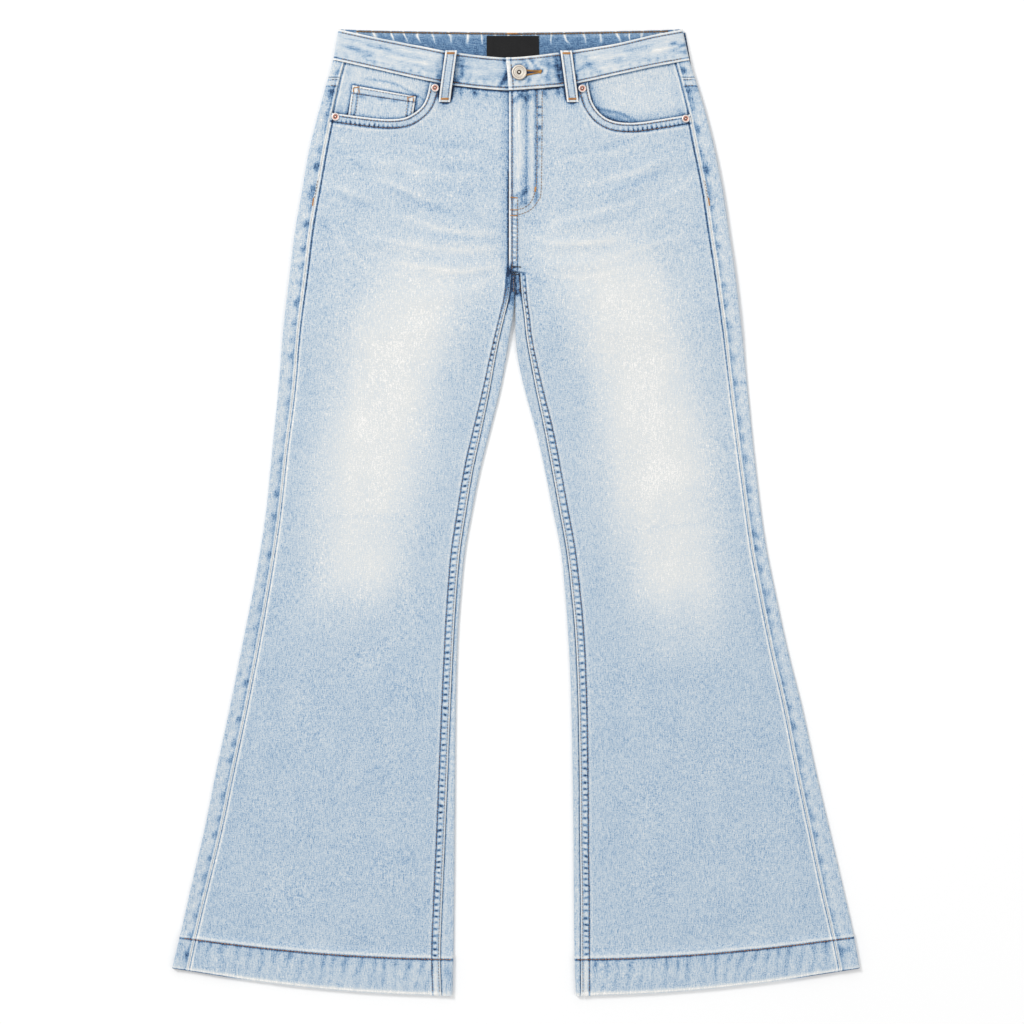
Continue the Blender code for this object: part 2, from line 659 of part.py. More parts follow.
def band_path(left, right, radius):
    """The band from its underlap round both sides to its lap, as (x, z, whether it is on top)."""
    low, high = SEAT_LIFT, band_height(right)
    path = [(blend(UNDERLAP_X, left, step / BAND_STEPS), high, True) for step in range(BAND_STEPS)]
    turns = [step / FOLD_STEPS for step in range(FOLD_STEPS + 1)]
    for t in turns:
        turn = math.pi * t
        path.append((left - radius * math.sin(turn), low + radius + radius * math.cos(turn), t < 0.5))
    path += [(blend(left, right, step / BAND_STEPS), low, False) for step in range(1, BAND_STEPS)]
    for t in reversed(turns):
        turn = math.pi * t
        path.append((right + radius * math.sin(turn), low + radius + radius * math.cos(turn), t < 0.5))
    wide = [blend(right, LAP_EASE_X, step / 5) for step in range(1, 5)]
    lap = [blend(LAP_EASE_X, BAND_LAP_X, step / LAP_STEPS) for step in range(LAP_STEPS + 1)]
    return path + [(x, band_height(x), True) for x in wide + lap]


def buttonhole():
    x, y = BUTTON
    places = []
    for step in range(HOLE_STEPS + 1):
        turn = math.radians(blend(HOLE_MOUTH, 360 - HOLE_MOUTH, step / HOLE_STEPS))
        places.append((x + EYELET_RADIUS * math.cos(turn), y + EYELET_RADIUS * math.sin(turn)))
    return places + [(SLIT_END_X, y - SLIT_WIDTH / 2), (SLIT_END_X, y + SLIT_WIDTH / 2)]


def waistband():
    flat_top = band_height(LAP_EASE_X)
    radius = (flat_top - SEAT_LIFT) / 2
    rows = []
    for r in range(BAND_ROWS + 1):
        share = r / BAND_ROWS
        level = blend(BAND_LEVEL, TOP_LEVEL, share)
        left, right = radius - outline(LEFT, level), outline(RIGHT, level) - radius
        row = []
        for x, z, on_top in band_path(left, right, radius):
            bottom, top = band_edges(x, on_top)
            row.append((x, blend(bottom, top, share), z))
        rows.append(row)
    band = cloth("waistband", rows, BAND, BAND_BLUE, flip=True)
    places, bottom = buttonhole(), flat_top + SEAM_GAP / 2
    cut(band, flat_piece("buttonhole_cutter", places, bottom, BAND_LAP + CUT_ABOVE, BAND_BLUE, cutters))


# Belt loops, label and back pockets

LOOP_STEPS, LOOP_REST, LOOP_ABOVE = 12, 0.1, 0.8
STEP_FROM, STEP_TO = 3.0, 15.0  # a loop comes down off the band between these, below the seam
FRONT_LOOPS = {"left": (-71.1, -78.8), "right": (54.9, 62.5)}  # x at the top and at the foot
UNDER_LOOPS = {"centre_back": (-4, -4), "side_left": (-118, -120), "side_right": (180.5, 190.2)}
UNDER_LOOP_FOOT, UNDER_LOOP_TOP = 475.0, 529.0
BACK_POCKET = [(-75, 72), (75, 72), (66, -60), (0, -78), (-66, -60)]
BACK_POCKET_CENTRE = (98, 362)
BACK_POCKET_TILT = math.radians(5)
BLACK = (0.03, 0.03, 0.03)


def carrier_height(leg, x, y):
    """What a front loop lies on: the band, then down its edge to the panel."""
    panel = front_height(leg, leg.sign * x, y)
    below_band = smooth(BAND_FRONT, "bottom", x) - y
    return blend(band_height(x), panel, eased(below_band, STEP_FROM, STEP_TO))


def front_loop(leg):
    top_x, foot_x = FRONT_LOOPS[leg.name]
    top_y = smooth(BAND_FRONT, "top", top_x) + LOOP_ABOVE
    rows = []
    for r in range(LOOP_STEPS + 1):
        t = r / LOOP_STEPS
        centre_x, y = blend(foot_x, top_x, t), blend(LOOP_FOOT_Y, top_y, t)
        clear = SEAM_GAP + LOOP_REST + LOOP_BOW * math.sin(math.pi * t)
        across = [centre_x + side * LOOP_WIDTH / 2 for side in (-1, 0, 1)]
        rows.append([(x, y, carrier_height(leg, x, y) + clear + LOOP_THICK) for x in across])
    cloth(f"belt_loop_front_{leg.name}", rows, LOOP_THICK, BAND_BLUE)


def under_loop(name):
    top_x, foot_x = UNDER_LOOPS[name]
    half = LOOP_WIDTH / 2
    places = [
        (foot_x - half, UNDER_LOOP_FOOT), (foot_x + half, UNDER_LOOP_FOOT),
        (top_x + half, UNDER_LOOP_TOP), (top_x - half, UNDER_LOOP_TOP),
    ]
    flat_piece(f"belt_loop_{name}", places, 0, TRIM, BAND_BLUE)


def back_pocket(leg):
    centre_x, centre_y = BACK_POCKET_CENTRE
    cos, sin = math.cos(BACK_POCKET_TILT), math.sin(BACK_POCKET_TILT)
    places = [
        (leg.sign * (centre_x + x * cos - y * sin), centre_y + x * sin + y * cos) for x, y in BACK_POCKET
    ]
    flat_piece(f"back_pocket_{leg.name}", places, 0, TRIM, DENIM_BLUE)


def label():
    x, y = LABEL_CENTRE
    half_x, half_y = LABEL_WIDTH / 2, LABEL_HEIGHT / 2
    places = [(x + a * half_x, y + b * half_y) for a, b in ((-1, -1), (1, -1), (1, 1), (-1, 1))]
    flat_piece("blank_label", places, SEAT_LIFT + BAND + SEAM_GAP, LABEL_THICK, BLACK)


# Button and rivets, turned about their own axes

MERGE = 0.00001
BUTTON_STEPS, RIVET_STEPS = 28, 18
BUTTON_METAL, RIVET_METAL = (0.75, 0.72, 0.66), (0.72, 0.55, 0.42)
RIVETS = {
    "left_inner": (LEFT, -88.9, 467.0), "left_outer": (LEFT, -198.4, 435.4),
    "right_inner": (RIGHT, 72.9, 466.5), "right_outer": (RIGHT, 186.6, 433.5),
}


def turned(name, profile, place, steps, colour):
    """A profile of radius and height, from the axis at its top down to the axis below."""
    mesh = bpy.data.meshes.new(name)
    points = [(radius * MM, 0, height * MM) for radius, height in profile]
    mesh.from_pydata(points, [(i, i + 1) for i in range(len(profile) - 1)], [])
    made = add_object(name, mesh, colour, roughness=0.35, metallic=1.0)
    made.location = [value * MM for value in place]
    spin = made.modifiers.new("turn", "SCREW")
    spin.steps = steps
    spin.render_steps = steps
    spin.use_merge_vertices = True
    spin.merge_threshold = MERGE


def waist_button():
    """A ringed cap on a neck that passes through the eyelet to the underlap."""
    neck_bottom = band_height(LAP_EASE_X) + SEAM_GAP
    cap = band_height(BUTTON[0]) + SEAM_GAP - neck_bottom
    rim = BUTTON_RADIUS
    profile = [
        (0, cap + 1.9), (1.6, cap + 1.9), (1.9, cap + 1.5), (4.8, cap + 1.5), (5.6, cap + 2.4),
        (rim - 0.9, cap + 2.3), (rim, cap + 1.5), (rim, cap + 0.6), (rim - 1, cap), (NECK_RADIUS, cap),
        (NECK_RADIUS, 0), (0, 0),
    ]
    turned("waist_button", profile, (*BUTTON, neck_bottom), BUTTON_STEPS, BUTTON_METAL)


def rivet(name):
    """A domed cap with a sunk centre, seated on the highest place of the cloth under it."""
    leg, x, y = RIVETS[name]
    top, rim = RIVET_HEIGHT, RIVET_RADIUS
    profile = [
        (0, 0.85 * top), (1.2, 0.85 * top), (1.6, 0.5 * top), (2.6, 0.6 * top), (3.4, top), (rim, 0.35),
        (rim, 0), (0, 0),
    ]
    places = [(leg.sign * x + a * rim, y + b * rim) for a in (-1, 0, 1) for b in (-1, 0, 1)]
    seat = max(front_height(leg, out, at_y) for out, at_y in places) + SEAM_GAP
    turned(f"rivet_{name}", profile, (x, y, seat), RIVET_STEPS, RIVET_METAL)


for side in (LEFT, RIGHT):
    back_panel(side)
    yoke(side)
    front_panel(side)
    facing(side)
    back_pocket(side)
    front_loop(side)
coin_pocket()
fly_shield()
fly_zip()
zip_slider()
waistband()
label()
waist_button()
for loop_name in UNDER_LOOPS:
    under_loop(loop_name)
for rivet_name in RIVETS:
    rivet(rivet_name)
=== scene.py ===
"""Bootcut jeans laid flat, face up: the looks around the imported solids.

Sizes are in millimetres until a mesh is made: +X right, +Y towards the waist, +Z up. A place on a
leg is given as out, its distance from x = 0 towards that leg's own side, and left is -X.
"""

import math

import bpy
import numpy as np
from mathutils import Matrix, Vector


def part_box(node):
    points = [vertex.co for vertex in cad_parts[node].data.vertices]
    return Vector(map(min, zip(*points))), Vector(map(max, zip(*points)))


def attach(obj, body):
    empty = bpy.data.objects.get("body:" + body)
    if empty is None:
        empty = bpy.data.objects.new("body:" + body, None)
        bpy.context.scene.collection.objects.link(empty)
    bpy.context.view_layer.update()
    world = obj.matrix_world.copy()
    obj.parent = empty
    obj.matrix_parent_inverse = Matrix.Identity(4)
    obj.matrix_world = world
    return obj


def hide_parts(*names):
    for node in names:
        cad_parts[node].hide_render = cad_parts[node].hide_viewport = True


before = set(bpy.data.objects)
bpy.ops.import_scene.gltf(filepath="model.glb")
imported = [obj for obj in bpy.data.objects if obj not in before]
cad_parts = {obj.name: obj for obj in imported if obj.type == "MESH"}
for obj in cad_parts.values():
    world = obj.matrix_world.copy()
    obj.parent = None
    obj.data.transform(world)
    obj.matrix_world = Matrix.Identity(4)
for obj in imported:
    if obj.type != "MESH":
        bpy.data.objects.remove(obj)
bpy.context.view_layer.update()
bpy.ops.object.select_all(action="DESELECT")
MM = 0.001

# The studio: a plain pale floor, an even sky, a broad lamp high on the left, which brings out the
# relief of the cloth, and a weak one opposite. The camera looks straight down through a long lens.
FLOOR_WHITE, SKY_POWER = 0.875, 0.74
CAMERA_PLACE, CAMERA_LENS = (-0.0044, 0.0011, 2.665), 85
# name, place, width, power
LAMPS = [("key", (-2.6, 2.4, 3.4), 1.4, 124.0), ("fill", (2.4, -1.2, 2.8), 2.5, 24.0)]


def new_finish(name, **settings):
    """A new material: itself, its tree and its shader with the settings that stay the same all over."""
    made = bpy.data.materials.new(name)
    made.use_nodes = True
    shader = made.node_tree.nodes["Principled BSDF"]
    for socket, value in settings.items():
        shader.inputs[socket.replace("_", " ")].default_value = value
    return made, made.node_tree, shader


def placed(name, data, place=(0, 0, 0)):
    """A new object in the scene."""
    made = bpy.data.objects.new(name, data)
    made.location = place
    bpy.context.scene.collection.objects.link(made)
    return made


bpy.ops.mesh.primitive_plane_add(size=8, location=(0, 0, 0))
floor = bpy.context.object
floor.name = "floor"
floor_white = (FLOOR_WHITE, FLOOR_WHITE, FLOOR_WHITE, 1)
floor_paint, _, _ = new_finish("pale_floor", Roughness=1.0, Specular_IOR_Level=0.0, Base_Color=floor_white)
floor.data.materials.append(floor_paint)

lens = bpy.data.cameras.new("camera")
lens.lens, lens.sensor_width = CAMERA_LENS, 36
bpy.context.scene.camera = placed("camera", lens, CAMERA_PLACE)
sky = bpy.data.worlds.new("sky")
sky.use_nodes = True
sky.node_tree.nodes["Background"].inputs["Color"].default_value = (1, 1, 1, 1)
sky.node_tree.nodes["Background"].inputs["Strength"].default_value = SKY_POWER
bpy.context.scene.world = sky
bpy.context.scene.view_settings.view_transform = "Standard"
for name, place, width, power in LAMPS:
    light = bpy.data.lights.new(name, "AREA")
    light.shape, light.size, light.energy = "SQUARE", width, power
    lamp = placed(name, light, place)
    lamp.rotation_euler = (-lamp.location).to_track_quat("-Z", "Y").to_euler()


# The two back panels: washed blue cotton twill, cut in one from the yoke to the hem. They lie
# underneath, roll round both long edges of each leg and come up to the seams on top.
DENIM, BAND, TRIM, SEAM_GAP = 1.1, 2.4, 1.2, 0.3
LEG_AIR, HIP_AIR, BAND_AIR = 0.5, 1.7, 1.7
LEG_ROLL, HIP_ROLL, ROLL_REACH = 1.0, 0.4, 7.0
SEAT_LIFT = TRIM + SEAM_GAP
HEM_LEVEL, HEM_DEPTH, HEM_STEP = -501.0, 36.0, 8.0
YOKE_LEVEL, BAND_LEVEL = 479.0, 498.0
FORK_LEVEL, FORK_REACH, FORK_CORNER = 264.0, 30.0, 2.5
SEAT_FROM, SEAT_TO, HIP_FROM, HIP_TO = 150.0, 210.0, 130.0, 230.0
WAIST_RISE, WAIST_REACH = 1.3, 20.0
TOP_REACH, HEM_REACH = 300.0, -300.0
FORK_X, BACK_TOP_X = -1.0, -4.0

# y, outline, width of the back's strip that shows on top
LEFT_SIDE = [
    (-501, 378.5, 17.5), (-459, 368.5, 16.5), (-415, 358.6, 17), (-349, 343.2, 17.5), (-283, 330, 18),
    (-217, 315.7, 17.5), (-151, 302.5, 17), (-85, 289.3, 15.5), (-41, 281.6, 15), (3, 275, 14.5),
    (69, 268.4, 15), (135, 261.8, 16.5), (201, 256.3, 16.5), (267, 248.6, 17), (311, 243.1, 16.5),
    (355, 235.4, 16.5), (399, 227.7, 16.5), (443, 216.7, 14.5), (478, 206.8, 12.5), (498, 201.3, 12.5),
    (532, 195.3, 12.5),
]
RIGHT_SIDE = [
    (-501, 378.5, 21.5), (-459, 370.7, 22.5), (-415, 360.8, 23), (-349, 345.4, 21.5), (-283, 330, 20),
    (-217, 315.7, 18.5), (-151, 299.2, 17), (-85, 284.9, 16), (-41, 276.1, 15.5), (3, 269.5, 15),
    (69, 261.8, 16), (135, 255.2, 17.5), (201, 248.6, 18.5), (267, 240.9, 19.5), (311, 234.3, 19.5),
    (355, 227.7, 19.5), (399, 218.9, 19.5), (443, 207.9, 17.5), (478, 197.2, 15.5), (498, 191, 15),
    (532, 183.2, 14),
]
# y, inner outline, width of the back's strip beside it
LEFT_INSEAM = [
    (-532, 70, 12), (-487, 68.8, 14.5), (-426, 68.2, 13), (-371, 67.7, 11), (-283, 67.1, 8), (-195, 66, 5.5),
    (-129, 63.8, 4.5), (-85, 60.5, 5), (-41, 56.1, 5.5), (3, 48.4, 6.5), (47, 39.6, 8), (91, 28.6, 9.5),
    (135, 17.6, 11.5), (168, 11.3, 12), (194, 7, 11), (216, 3.3, 9.5), (240, 1.3, 6), (264, 1.2, 3.8),
]
RIGHT_INSEAM = [
    (-532, 66, 5.5), (-487, 64.4, 7), (-426, 63.8, 7.5), (-371, 63.5, 7), (-283, 62.4, 7.5), (-195, 60.5, 7.7),
    (-129, 57.2, 7.8), (-85, 53.9, 7), (-41, 49.5, 6.3), (3, 40.7, 7.2), (47, 31.9, 8), (91, 22, 9.7),
    (135, 9.9, 12.5), (168, 2.6, 13.5), (194, -0.4, 12), (216, -0.7, 10), (240, -0.7, 7), (264, -0.8, 5.3),
]
# x, top, bottom of the band where it lies on top
BAND_FRONT = [
    (-201, 533, 498), (-160, 524, 489), (-104, 513, 476.5), (-68, 506.3, 470), (-12, 500.5, 464.5),
    (20, 502.3, 466), (54, 507, 469.5), (109, 515.7, 481.3), (151, 525.5, 490.4), (192, 533, 498),
]
# share of the half width, y
BACK_TOP = [(0, 528.6), (0.4, 529.6), (0.85, 531.3), (1, 532.5)]
BACK_BOTTOM = [(0, 492.6), (0.45, 493.4), (0.85, 495.5), (0.97, 498), (1, 498)]
YOKE_SEAM = [(0, 425), (0.3, 437), (0.6, 453), (0.9, 474), (0.97, 479), (1, 479)]
# out, y of the bottom edge
HEM_EDGE = [
    (66, -531.5), (131, -529.6), (201, -525), (261, -518.5), (305, -512.5), (348, -505.8), (379, -500.8),
]
SIGN = {"left": -1, "right": 1}
SIDE = {"left": LEFT_SIDE, "right": RIGHT_SIDE}
INSEAM = {"left": LEFT_INSEAM, "right": RIGHT_INSEAM}


def eased(value, start, end):
    """0 up to start, 1 from end on, and smooth between them."""
    share = np.clip((value - start) / (end - start), 0, 1)
    return share * share * (3 - 2 * share)


def blend(a, b, share):
    return a + (b - a) * share


def hump(away, at, reach):
    return np.exp(-(((away - at) / reach) ** 2))


def lines(away, rows):
    """Soft lines along an edge: how pale or high each is, how far in and how wide. Below 0: dark or low."""
    return sum(pale * hump(away, at, wide) for pale, at, wide in rows)


def smooth(rows, column, at):
    """A table's column read on one smooth curve, as the solids read it."""
    table = np.array(rows, float)
    x, v = table[:, 0], table[:, column]
    at = np.clip(np.asarray(at, float), x[0], x[-1])
    i = np.clip(np.searchsorted(x, at, side="right") - 1, 0, len(x) - 2)
    before, after = np.maximum(np.arange(len(x)) - 1, 0), np.minimum(np.arange(len(x)) + 1, len(x) - 1)
    slope = (v[after] - v[before]) / (x[after] - x[before])
    span = x[i + 1] - x[i]
    t = (at - x[i]) / span
    bend = slope[i] * t * (1 - t) ** 2 + slope[i + 1] * t * t * (t - 1)
    return v[i] * (1 + 2 * t) * (1 - t) ** 2 + v[i + 1] * t * t * (3 - 2 * t) + span * bend


def outline(leg, y):
    return smooth(SIDE[leg], 1, y)


def side_seam(leg, y):
    return outline(leg, y) - smooth(SIDE[leg], 2, y)


def inner(leg, y):
    return smooth(INSEAM[leg], 1, y)


def inseam(leg, y):
    return inner(leg, y) + smooth(INSEAM[leg], 2, y)


def centre_back(leg, y):
    return SIGN[leg] * blend(FORK_X, BACK_TOP_X, eased(y, FORK_LEVEL, BAND_LEVEL)) + SEAM_GAP / 2


def seat_lift(y):
    return SEAT_LIFT * eased(y, SEAT_FROM, SEAT_TO)


def plies(level):
    return 2.0 - eased(level, HEM_LEVEL + HEM_DEPTH, HEM_LEVEL + HEM_DEPTH + HEM_STEP)


def hem_bend(out, level):
    share = np.maximum((HEM_REACH - level) / (HEM_REACH - HEM_LEVEL), 0)
    return share * (smooth(HEM_EDGE, 1, out) - HEM_LEVEL)


def level_of(out, y):
    """The level of the row that passes a place, which is what the hem's plies go by."""
    bend = (smooth(HEM_EDGE, 1, out) - HEM_LEVEL) / (HEM_REACH - HEM_LEVEL)
    return np.where(y < HEM_REACH, (y - HEM_REACH * bend) / (1 - bend), y)


def top_height(leg, out, y):
    """Outside of the top layer, without what is particular to one panel."""
    air = blend(LEG_AIR, HIP_AIR, eased(y, HIP_FROM, HIP_TO))
    height = seat_lift(y) + 2 * DENIM * plies(level_of(out, y)) + air
    below_band = smooth(BAND_FRONT, 2, SIGN[leg] * out) - y
    height = height + WAIST_RISE * (1 - eased(below_band, 0, WAIST_REACH))
    roll = hump(outline(leg, y) - out, 0, ROLL_REACH)
    roll = roll + (y < FORK_LEVEL) * hump(out - inner(leg, y), 0, ROLL_REACH)
    return height + blend(LEG_ROLL, HIP_ROLL, eased(y, HIP_FROM, HIP_TO)) * roll


def pulses(along, pitch, seed, width=0.3):
    """A row of puckers: soft bumps a pitch apart, uneven in place and strength."""
    draw = np.random.default_rng(seed)
    shift, strength = draw.uniform(-0.22, 0.22, 997), draw.uniform(0.25, 1.0, 997)
    place = np.asarray(along) / pitch
    total = 0.0
    for step in (-1, 0, 1, 2):
        k = np.floor(place).astype(int) + step
        total = total + strength[k % 997] * np.exp(-(((place - k - shift[k % 997]) / width) ** 2))
    return total


def ripple(x, y, seed, waves=9):
    """Smooth uneven waves between about -1 and 1, one unit of x or y to a wave."""
    draw = np.random.default_rng(seed)
    total = 0.0
    for _ in range(waves):
        turn, phase, pace = draw.uniform(0, math.tau), draw.uniform(0, math.tau), draw.uniform(0.6, 1.4)
        total = total + np.sin(math.tau * pace * (x * math.cos(turn) + y * math.sin(turn)) + phase)
    return total / math.sqrt(waves)


def maths(tree, operation, *values):
    node = tree.nodes.new("ShaderNodeMath")
    node.operation = operation
    for socket, value in zip(node.inputs, values):
        if isinstance(value, bpy.types.NodeSocket):
            tree.links.new(value, socket)
        else:
            socket.default_value = value
    return node.outputs[0]


def noise(tree, vector, scale, detail):
    """Noise whose features are about 1 / scale metres, given for each axis."""
    mapping = tree.nodes.new("ShaderNodeMapping")
    mapping.inputs["Scale"].default_value = scale
    tree.links.new(vector, mapping.inputs["Vector"])
    node = tree.nodes.new("ShaderNodeTexNoise")
    node.inputs["Scale"].default_value = 1.0
    node.inputs["Detail"].default_value = detail
    tree.links.new(mapping.outputs["Vector"], node.inputs["Vector"])
    return node.outputs["Fac"]


def linear(red, green, blue):
    return tuple(((v / 255 + 0.055) / 1.055) ** 2.4 if v > 10 else v / 255 / 12.92 for v in (red, green, blue))


def colours(tree, factor, stops, light=1.0):
    """Colours along a factor, from stops of a position and a colour as it looks under that much light."""
    ramp = tree.nodes.new("ShaderNodeValToRGB")
    made = ramp.color_ramp.elements
    while len(made) < len(stops):
        made.new(0.5)
    for stop, (at, colour) in zip(made, stops):
        stop.position, stop.color = at, (*(value / light for value in linear(*colour)), 1)
    tree.links.new(factor, ramp.inputs["Fac"])
    return ramp.outputs["Color"]


def raise_fine(tree, shader, height, distance, strength=1.0):
    """Relief that is too fine for the mesh."""
    bump = tree.nodes.new("ShaderNodeBump")
    bump.inputs["Strength"].default_value, bump.inputs["Distance"].default_value = strength, distance
    tree.links.new(height, bump.inputs["Height"])
    tree.links.new(bump.outputs["Normal"], shader.inputs["Normal"])


def read(tree, name):
    """What a piece says at each point under a name."""
    given = tree.nodes.new("ShaderNodeAttribute")
    given.attribute_name = name
    return given.outputs["Fac"]


# How washed the indigo is, from its full depth to rubbed white cotton, as it looks in the light here
WASH = [
    (0.0, (20, 38, 66)), (0.16, (52, 84, 124)), (0.32, (98, 136, 174)), (0.48, (145, 173, 201)),
    (0.62, (182, 200, 216)), (0.74, (200, 212, 222)), (0.86, (216, 223, 228)), (0.94, (227, 229, 228)),
    (0.975, (232, 233, 231)), (1.0, (252, 250, 247)),
]
# How much light the colours above were looked at in, and the twill's ribs, as radians per metre
LIGHT, RIBS = 1.17, 6600.0


def washed_twill():
    """Node group: the colour, roughness and relief of washed denim from how washed it is."""
    tree = bpy.data.node_groups.new("washed_twill", "ShaderNodeTree")
    tree.interface.new_socket("Vector", in_out="INPUT", socket_type="NodeSocketVector")
    for name in ("Tone", "Grain", "Run", "Pucker", "Sharp"):
        tree.interface.new_socket(name, in_out="INPUT", socket_type="NodeSocketFloat")
    for name, kind in (("Color", "Color"), ("Roughness", "Float"), ("Height", "Float")):
        tree.interface.new_socket(name, in_out="OUTPUT", socket_type=f"NodeSocket{kind}")
    given, result = tree.nodes.new("NodeGroupInput"), tree.nodes.new("NodeGroupOutput")
    vector = given.outputs["Vector"]
    slub = noise(tree, vector, (1050, 170, 1050), 0)
    weft = noise(tree, vector, (150, 950, 950), 0)
    mottle = noise(tree, vector, (980, 820, 980), 0)
    cloud = noise(tree, vector, (40, 12, 40), 1)
    wander, drift = noise(tree, vector, (75, 75, 75), 1), noise(tree, vector, (28, 28, 28), 0)
    split = tree.nodes.new("ShaderNodeSeparateXYZ")
    tree.links.new(vector, split.inputs[0])
    slant = maths(tree, "MULTIPLY_ADD", split.outputs["Y"], 0.58, split.outputs["X"])
    slant = maths(tree, "MULTIPLY_ADD", slant, RIBS, maths(tree, "MULTIPLY", mottle, 7.0))
    twill = maths(tree, "SINE", slant)
    grain = maths(tree, "MULTIPLY_ADD", slub, 0.40, maths(tree, "MULTIPLY", mottle, 0.56))
    grain = maths(tree, "MULTIPLY_ADD", weft, 0.14, grain)
    grain = maths(tree, "MULTIPLY_ADD", twill, 0.02, maths(tree, "SUBTRACT", grain, 0.55))
    # The rubbed parts are evener: less grain from tone 0.78 on
    evener = maths(tree, "MAXIMUM", maths(tree, "MULTIPLY_ADD", given.outputs["Tone"], -4.0, 4.12), 0.42)
    grain = maths(tree, "MULTIPLY", grain, maths(tree, "MINIMUM", evener, 1.0))
    tone = maths(tree, "MULTIPLY_ADD", grain, given.outputs["Grain"], given.outputs["Tone"])
    tone = maths(tree, "MULTIPLY_ADD", maths(tree, "SUBTRACT", cloud, 0.5), 0.05, tone)
    # Puckers: uneven blue dots along a seam, or pale ones where the pucker is below 0
    turn = maths(tree, "MULTIPLY_ADD", drift, 7.0, maths(tree, "MULTIPLY", wander, 2.0))
    turn = maths(tree, "MULTIPLY_ADD", given.outputs["Run"], math.tau, turn)
    dots = maths(tree, "MULTIPLY_ADD", maths(tree, "SINE", turn), 0.5, 0.5)
    dots = maths(tree, "POWER", dots, given.outputs["Sharp"])
    depth = maths(tree, "MULTIPLY", dots, maths(tree, "MULTIPLY_ADD", wander, 1.8, 0.1))
    depth = maths(tree, "MULTIPLY", depth, given.outputs["Pucker"])
    tone = maths(tree, "SUBTRACT", tone, depth)
    tree.links.new(colours(tree, tone, WASH, LIGHT), result.inputs["Color"])
    tree.links.new(maths(tree, "MULTIPLY_ADD", slub, 0.15, 0.78), result.inputs["Roughness"])
    height = maths(tree, "MULTIPLY_ADD", twill, 0.16, maths(tree, "MULTIPLY", slub, 0.5))
    height = maths(tree, "MULTIPLY_ADD", mottle, 0.9, height)
    height = maths(tree, "MULTIPLY_ADD", depth, -1.5, height)
    tree.links.new(height, result.inputs["Height"])
    return tree


def denim(name, warp_along_x=False, grain=1.0, reads="tone", tone=None, sharp=2.0):
    """Denim that reads how washed it is from the piece. The warp runs up the leg, or along a strip."""
    made, tree, shader = new_finish(name, Specular_IOR_Level=0.25, Sheen_Weight=0.12, Sheen_Roughness=0.6)
    vector = tree.nodes.new("ShaderNodeTexCoord").outputs["Object"]
    if warp_along_x:
        mapping = tree.nodes.new("ShaderNodeMapping")
        mapping.inputs["Rotation"].default_value = (0, 0, math.pi / 2)
        tree.links.new(vector, mapping.inputs["Vector"])
        vector = mapping.outputs["Vector"]
    twill = tree.nodes.new("ShaderNodeGroup")
    twill.node_tree = bpy.data.node_groups.get("washed_twill") or washed_twill()
    twill.inputs["Grain"].default_value, twill.inputs["Sharp"].default_value = grain, sharp
    tree.links.new(vector, twill.inputs["Vector"])
    if tone is None:
        for own, socket in ((reads, "Tone"), ("run", "Run"), ("pucker", "Pucker")):
            tree.links.new(read(tree, own), twill.inputs[socket])
    else:
        twill.inputs["Tone"].default_value = tone
    tree.links.new(twill.outputs["Color"], shader.inputs["Base Color"])
    tree.links.new(twill.outputs["Roughness"], shader.inputs["Roughness"])
    raise_fine(tree, shader, twill.outputs["Height"], 0.35 * MM, 0.6)
    return made


def cloth(name, x, y, z, tone, wall, finishes, flip=False, keep=None, doubled=None, inside=None, puckers=None):
    """A grid of the cloth's outside face, its wall grown inwards. Doubled rows get twice the wall."""
    index = np.arange(x.size).reshape(x.shape)
    quads = np.stack([index[:-1, :-1], index[:-1, 1:], index[1:, 1:], index[1:, :-1]], -1).reshape(-1, 4)
    if keep is not None:
        quads = quads[keep.ravel()[quads].all(axis=1)]
    used, quads = np.unique(quads, return_inverse=True)
    quads = quads.reshape(-1, 4)
    if flip:
        quads = quads[:, ::-1]
    points = np.stack([x, y, z], -1).reshape(-1, 3)[used] * MM
    mesh = bpy.data.meshes.new(name)
    mesh.from_pydata(points.tolist(), [], quads.tolist())
    run, pucker = puckers or (None, None)
    for reads, given in (("tone", tone), ("inside", inside), ("run", run), ("pucker", pucker)):
        if given is not None:
            values = mesh.attributes.new(reads, "FLOAT", "POINT")
            given = given if reads in ("run", "pucker") else np.clip(given, 0, 1)
            values.data.foreach_set("value", given.ravel()[used].astype(np.float32))
    made = placed(name, mesh)
    for finish in finishes:
        mesh.materials.append(finish)
    grown = made.modifiers.new("wall", "SOLIDIFY")
    grown.thickness, grown.offset = wall * MM, -1
    grown.material_offset, grown.material_offset_rim = len(finishes) - 1, 0
    if doubled is not None:
        share = np.broadcast_to(doubled, x.shape).ravel()[used]
        group = made.vertex_groups.new(name="plies")
        for value in np.unique(share):
            group.add(np.flatnonzero(share == value).tolist(), float(value), "REPLACE")
        grown.vertex_group = "plies"
    bpy.context.view_layer.objects.active = made
    bpy.ops.object.modifier_apply(modifier="wall")
    made.data.shade_smooth()
    made.data.set_sharp_from_angle(angle=math.radians(50))
    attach(made, "root")
    return made


STRIP_STEPS = np.array([0, 0.03, 0.06, 0.1, 0.15, 0.2, 0.27, 0.35, 0.44, 0.54, 0.65, 0.76, 0.88])
FOLD_STEPS = np.linspace(0, 1, 10)
UNDER_STEPS = np.linspace(0, 1, 26)[1:]
LEG_LEVELS = np.concatenate([
    HEM_LEVEL + np.array([0, 0.4, 0.9, 1.5, 2.2, 3.2, 4.5]), np.arange(-495, -470, 2.5),
    np.arange(-470, -461, 1.0), np.arange(-461, 400, 2.5),
])


def fold_radius(leg, out, y):
    return (top_height(leg, out, y) - seat_lift(y)) / 2


